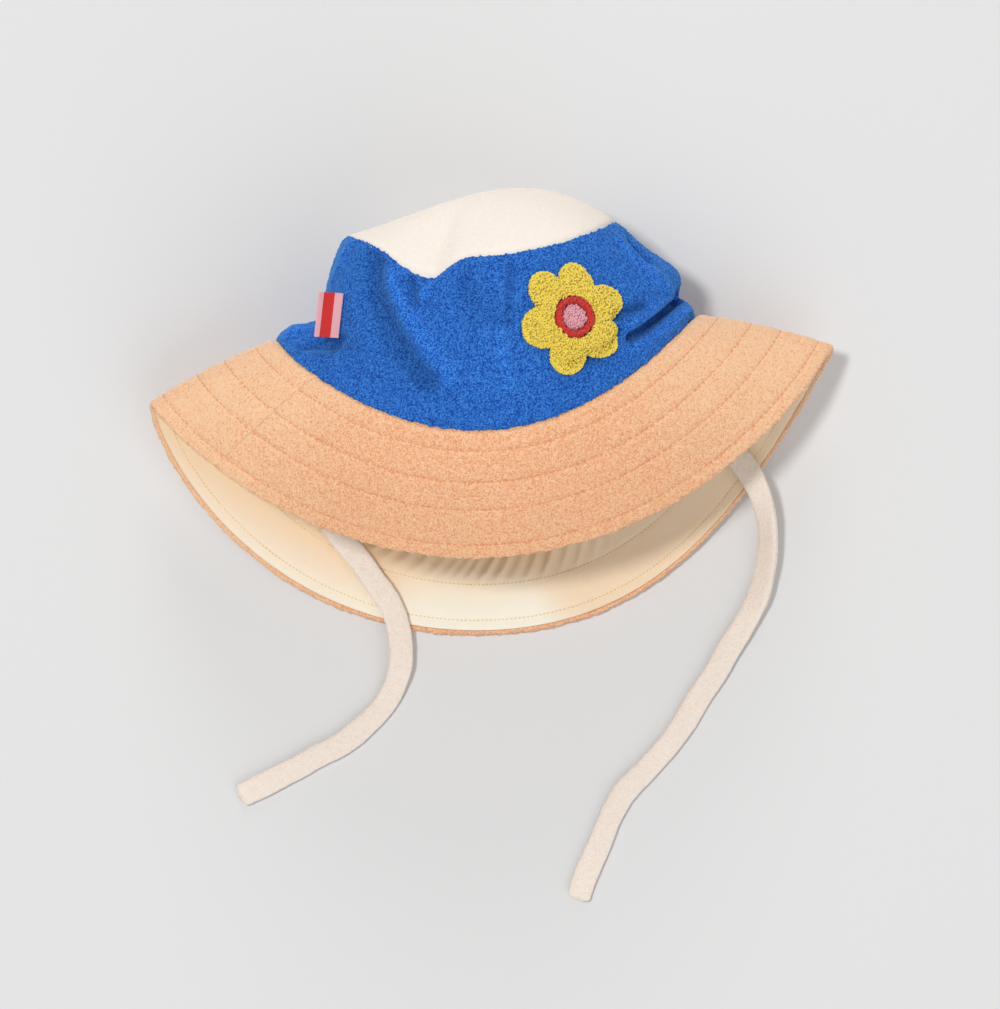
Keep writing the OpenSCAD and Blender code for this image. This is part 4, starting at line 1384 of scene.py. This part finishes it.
def flower():
    spots, ways = scatter(lambda q: petal_r(q) - 0.35, PETAL_IN, petal_h, 1.5, 5)
    rim = circle_angles(RIM_LOOPS)
    for height in RIM_HEIGHTS:
        more, more_ways = patch_at(petal_r(rim) - 0.5, rim, 0 * rim + height)
        spots, ways = np.concatenate([spots, more]), np.concatenate([ways, more_ways])
    mound = mound_of(steady(PETAL_IN), lambda q: petal_r(q) - 0.8, petal_h, 180, 16, 6)
    boucle("flower_petals", spots, ways, YELLOW_YARN, "yellow_boucle", 0.62, 0.46, 7, mound)
    spots, ways = scatter(steady(RING_R - LOOP_INSET), RING_IN + 0.2, ring_h, 1.3, 8)
    mound = mound_of(steady(RING_IN), steady(RING_R), ring_h, 90, 10, 9)
    boucle("flower_ring", spots, ways, RED_YARN, "red_boucle", 0.5, 0.4, 10, mound)
    spots, ways = scatter(steady(CENTRE_R - LOOP_INSET), 0, centre_h, 1.3, 11)
    mound = mound_of(steady(0.05), steady(CENTRE_R), centre_h, 60, 9, 12)
    boucle("flower_centre", spots, ways, PINK_YARN, "pink_boucle", 0.5, 0.4, 13, mound)


# Studio
FLOOR_GREY = 0.75
FLOOR_HALF = 6
FLOOR_DROP = 0.0002
FILL_LEVEL = 0.38
# Place, diameter and power: a key light at the upper left, a weak one behind the crown, a broad one in front
LAMPS = {
    "key": ((-1.15, 0.75, 4.8), 0.6, 108),
    "back": ((0.3, 3.4, 1.5), 1.6, 34),
    "front": ((1.4, -2.8, 2.8), 5.0, 57),
}


def add_floor():
    mat, tree, shader = new_material("studio_floor")
    tone = tone_node(tree, noise_node(tree, 3, 1.0, 0.4), (FLOOR_GREY,) * 3, (0.3, 0.995), (0.7, 1))
    set_inputs(tree, shader, {"Base Color": tone, "Roughness": 0.9, "Specular IOR Level": 0.0})
    mesh = bpy.data.meshes.new("studio_floor")
    corners = [(x * FLOOR_HALF, y * FLOOR_HALF, 0) for x, y in ((-1, -1), (1, -1), (1, 1), (-1, 1))]
    mesh.from_pydata(corners, [], [(0, 1, 2, 3)])
    mesh.materials.append(mat)
    floor = bpy.data.objects.new("studio_floor", mesh)
    floor.location.z = -FLOOR_DROP
    bpy.context.collection.objects.link(floor)


def add_lights():
    world = bpy.data.worlds.new("studio")
    world.use_nodes = True
    tree = world.node_tree
    rays = add_node(tree, "LightPath", {})
    seen = math_node(tree, "MAXIMUM", rays["Is Camera Ray"], rays["Is Glossy Ray"])
    seen = math_node(tree, "MAXIMUM", seen, rays["Is Transmission Ray"])
    level = sum_node(tree, product_node(tree, seen, FLOOR_GREY - FILL_LEVEL), FILL_LEVEL)
    set_inputs(tree, tree.nodes["Background"], {"Color": (1, 1, 1), "Strength": level})
    bpy.context.scene.world = world
    for name, (at, size, power) in LAMPS.items():
        data = bpy.data.lights.new(name, "AREA")
        data.shape = "DISK"
        data.size = size
        data.energy = power
        lamp = bpy.data.objects.new(name, data)
        lamp.location = at
        lamp.rotation_euler = (-lamp.location).to_track_quat("-Z", "Y").to_euler()
        bpy.context.collection.objects.link(lamp)


def build():
    add_camera()
    for side in SIDE_WORDS:
        chin_tie(side)
        bar_tack(side)
    for label, front, step in (("front", True, TERRY_STEP), ("back", False, BACK_STEP)):
        crown_panel(f"crown_panel_{label}", front, step, 21 + front)
        brim_top(f"brim_top_{label}", front, step, 11 + front)
        brim_under(f"brim_under_{label}", front, UNDER_FRONT_STEP if front else UNDER_BACK_STEP)
        brim_interlining(f"brim_interlining_{label}", front)
        lining_panel(f"lining_panel_{label}", front)
        brim_stitches(f"brim_stitches_top_{label}", front, False)
        brim_stitches(f"brim_stitches_under_{label}", front, True)
    crown_tip()
    lining_tip()
    back_elastic()
    side_label()
    flower()
    add_floor()
    add_lights()
    bpy.context.scene.view_settings.view_transform = "Standard"


build()
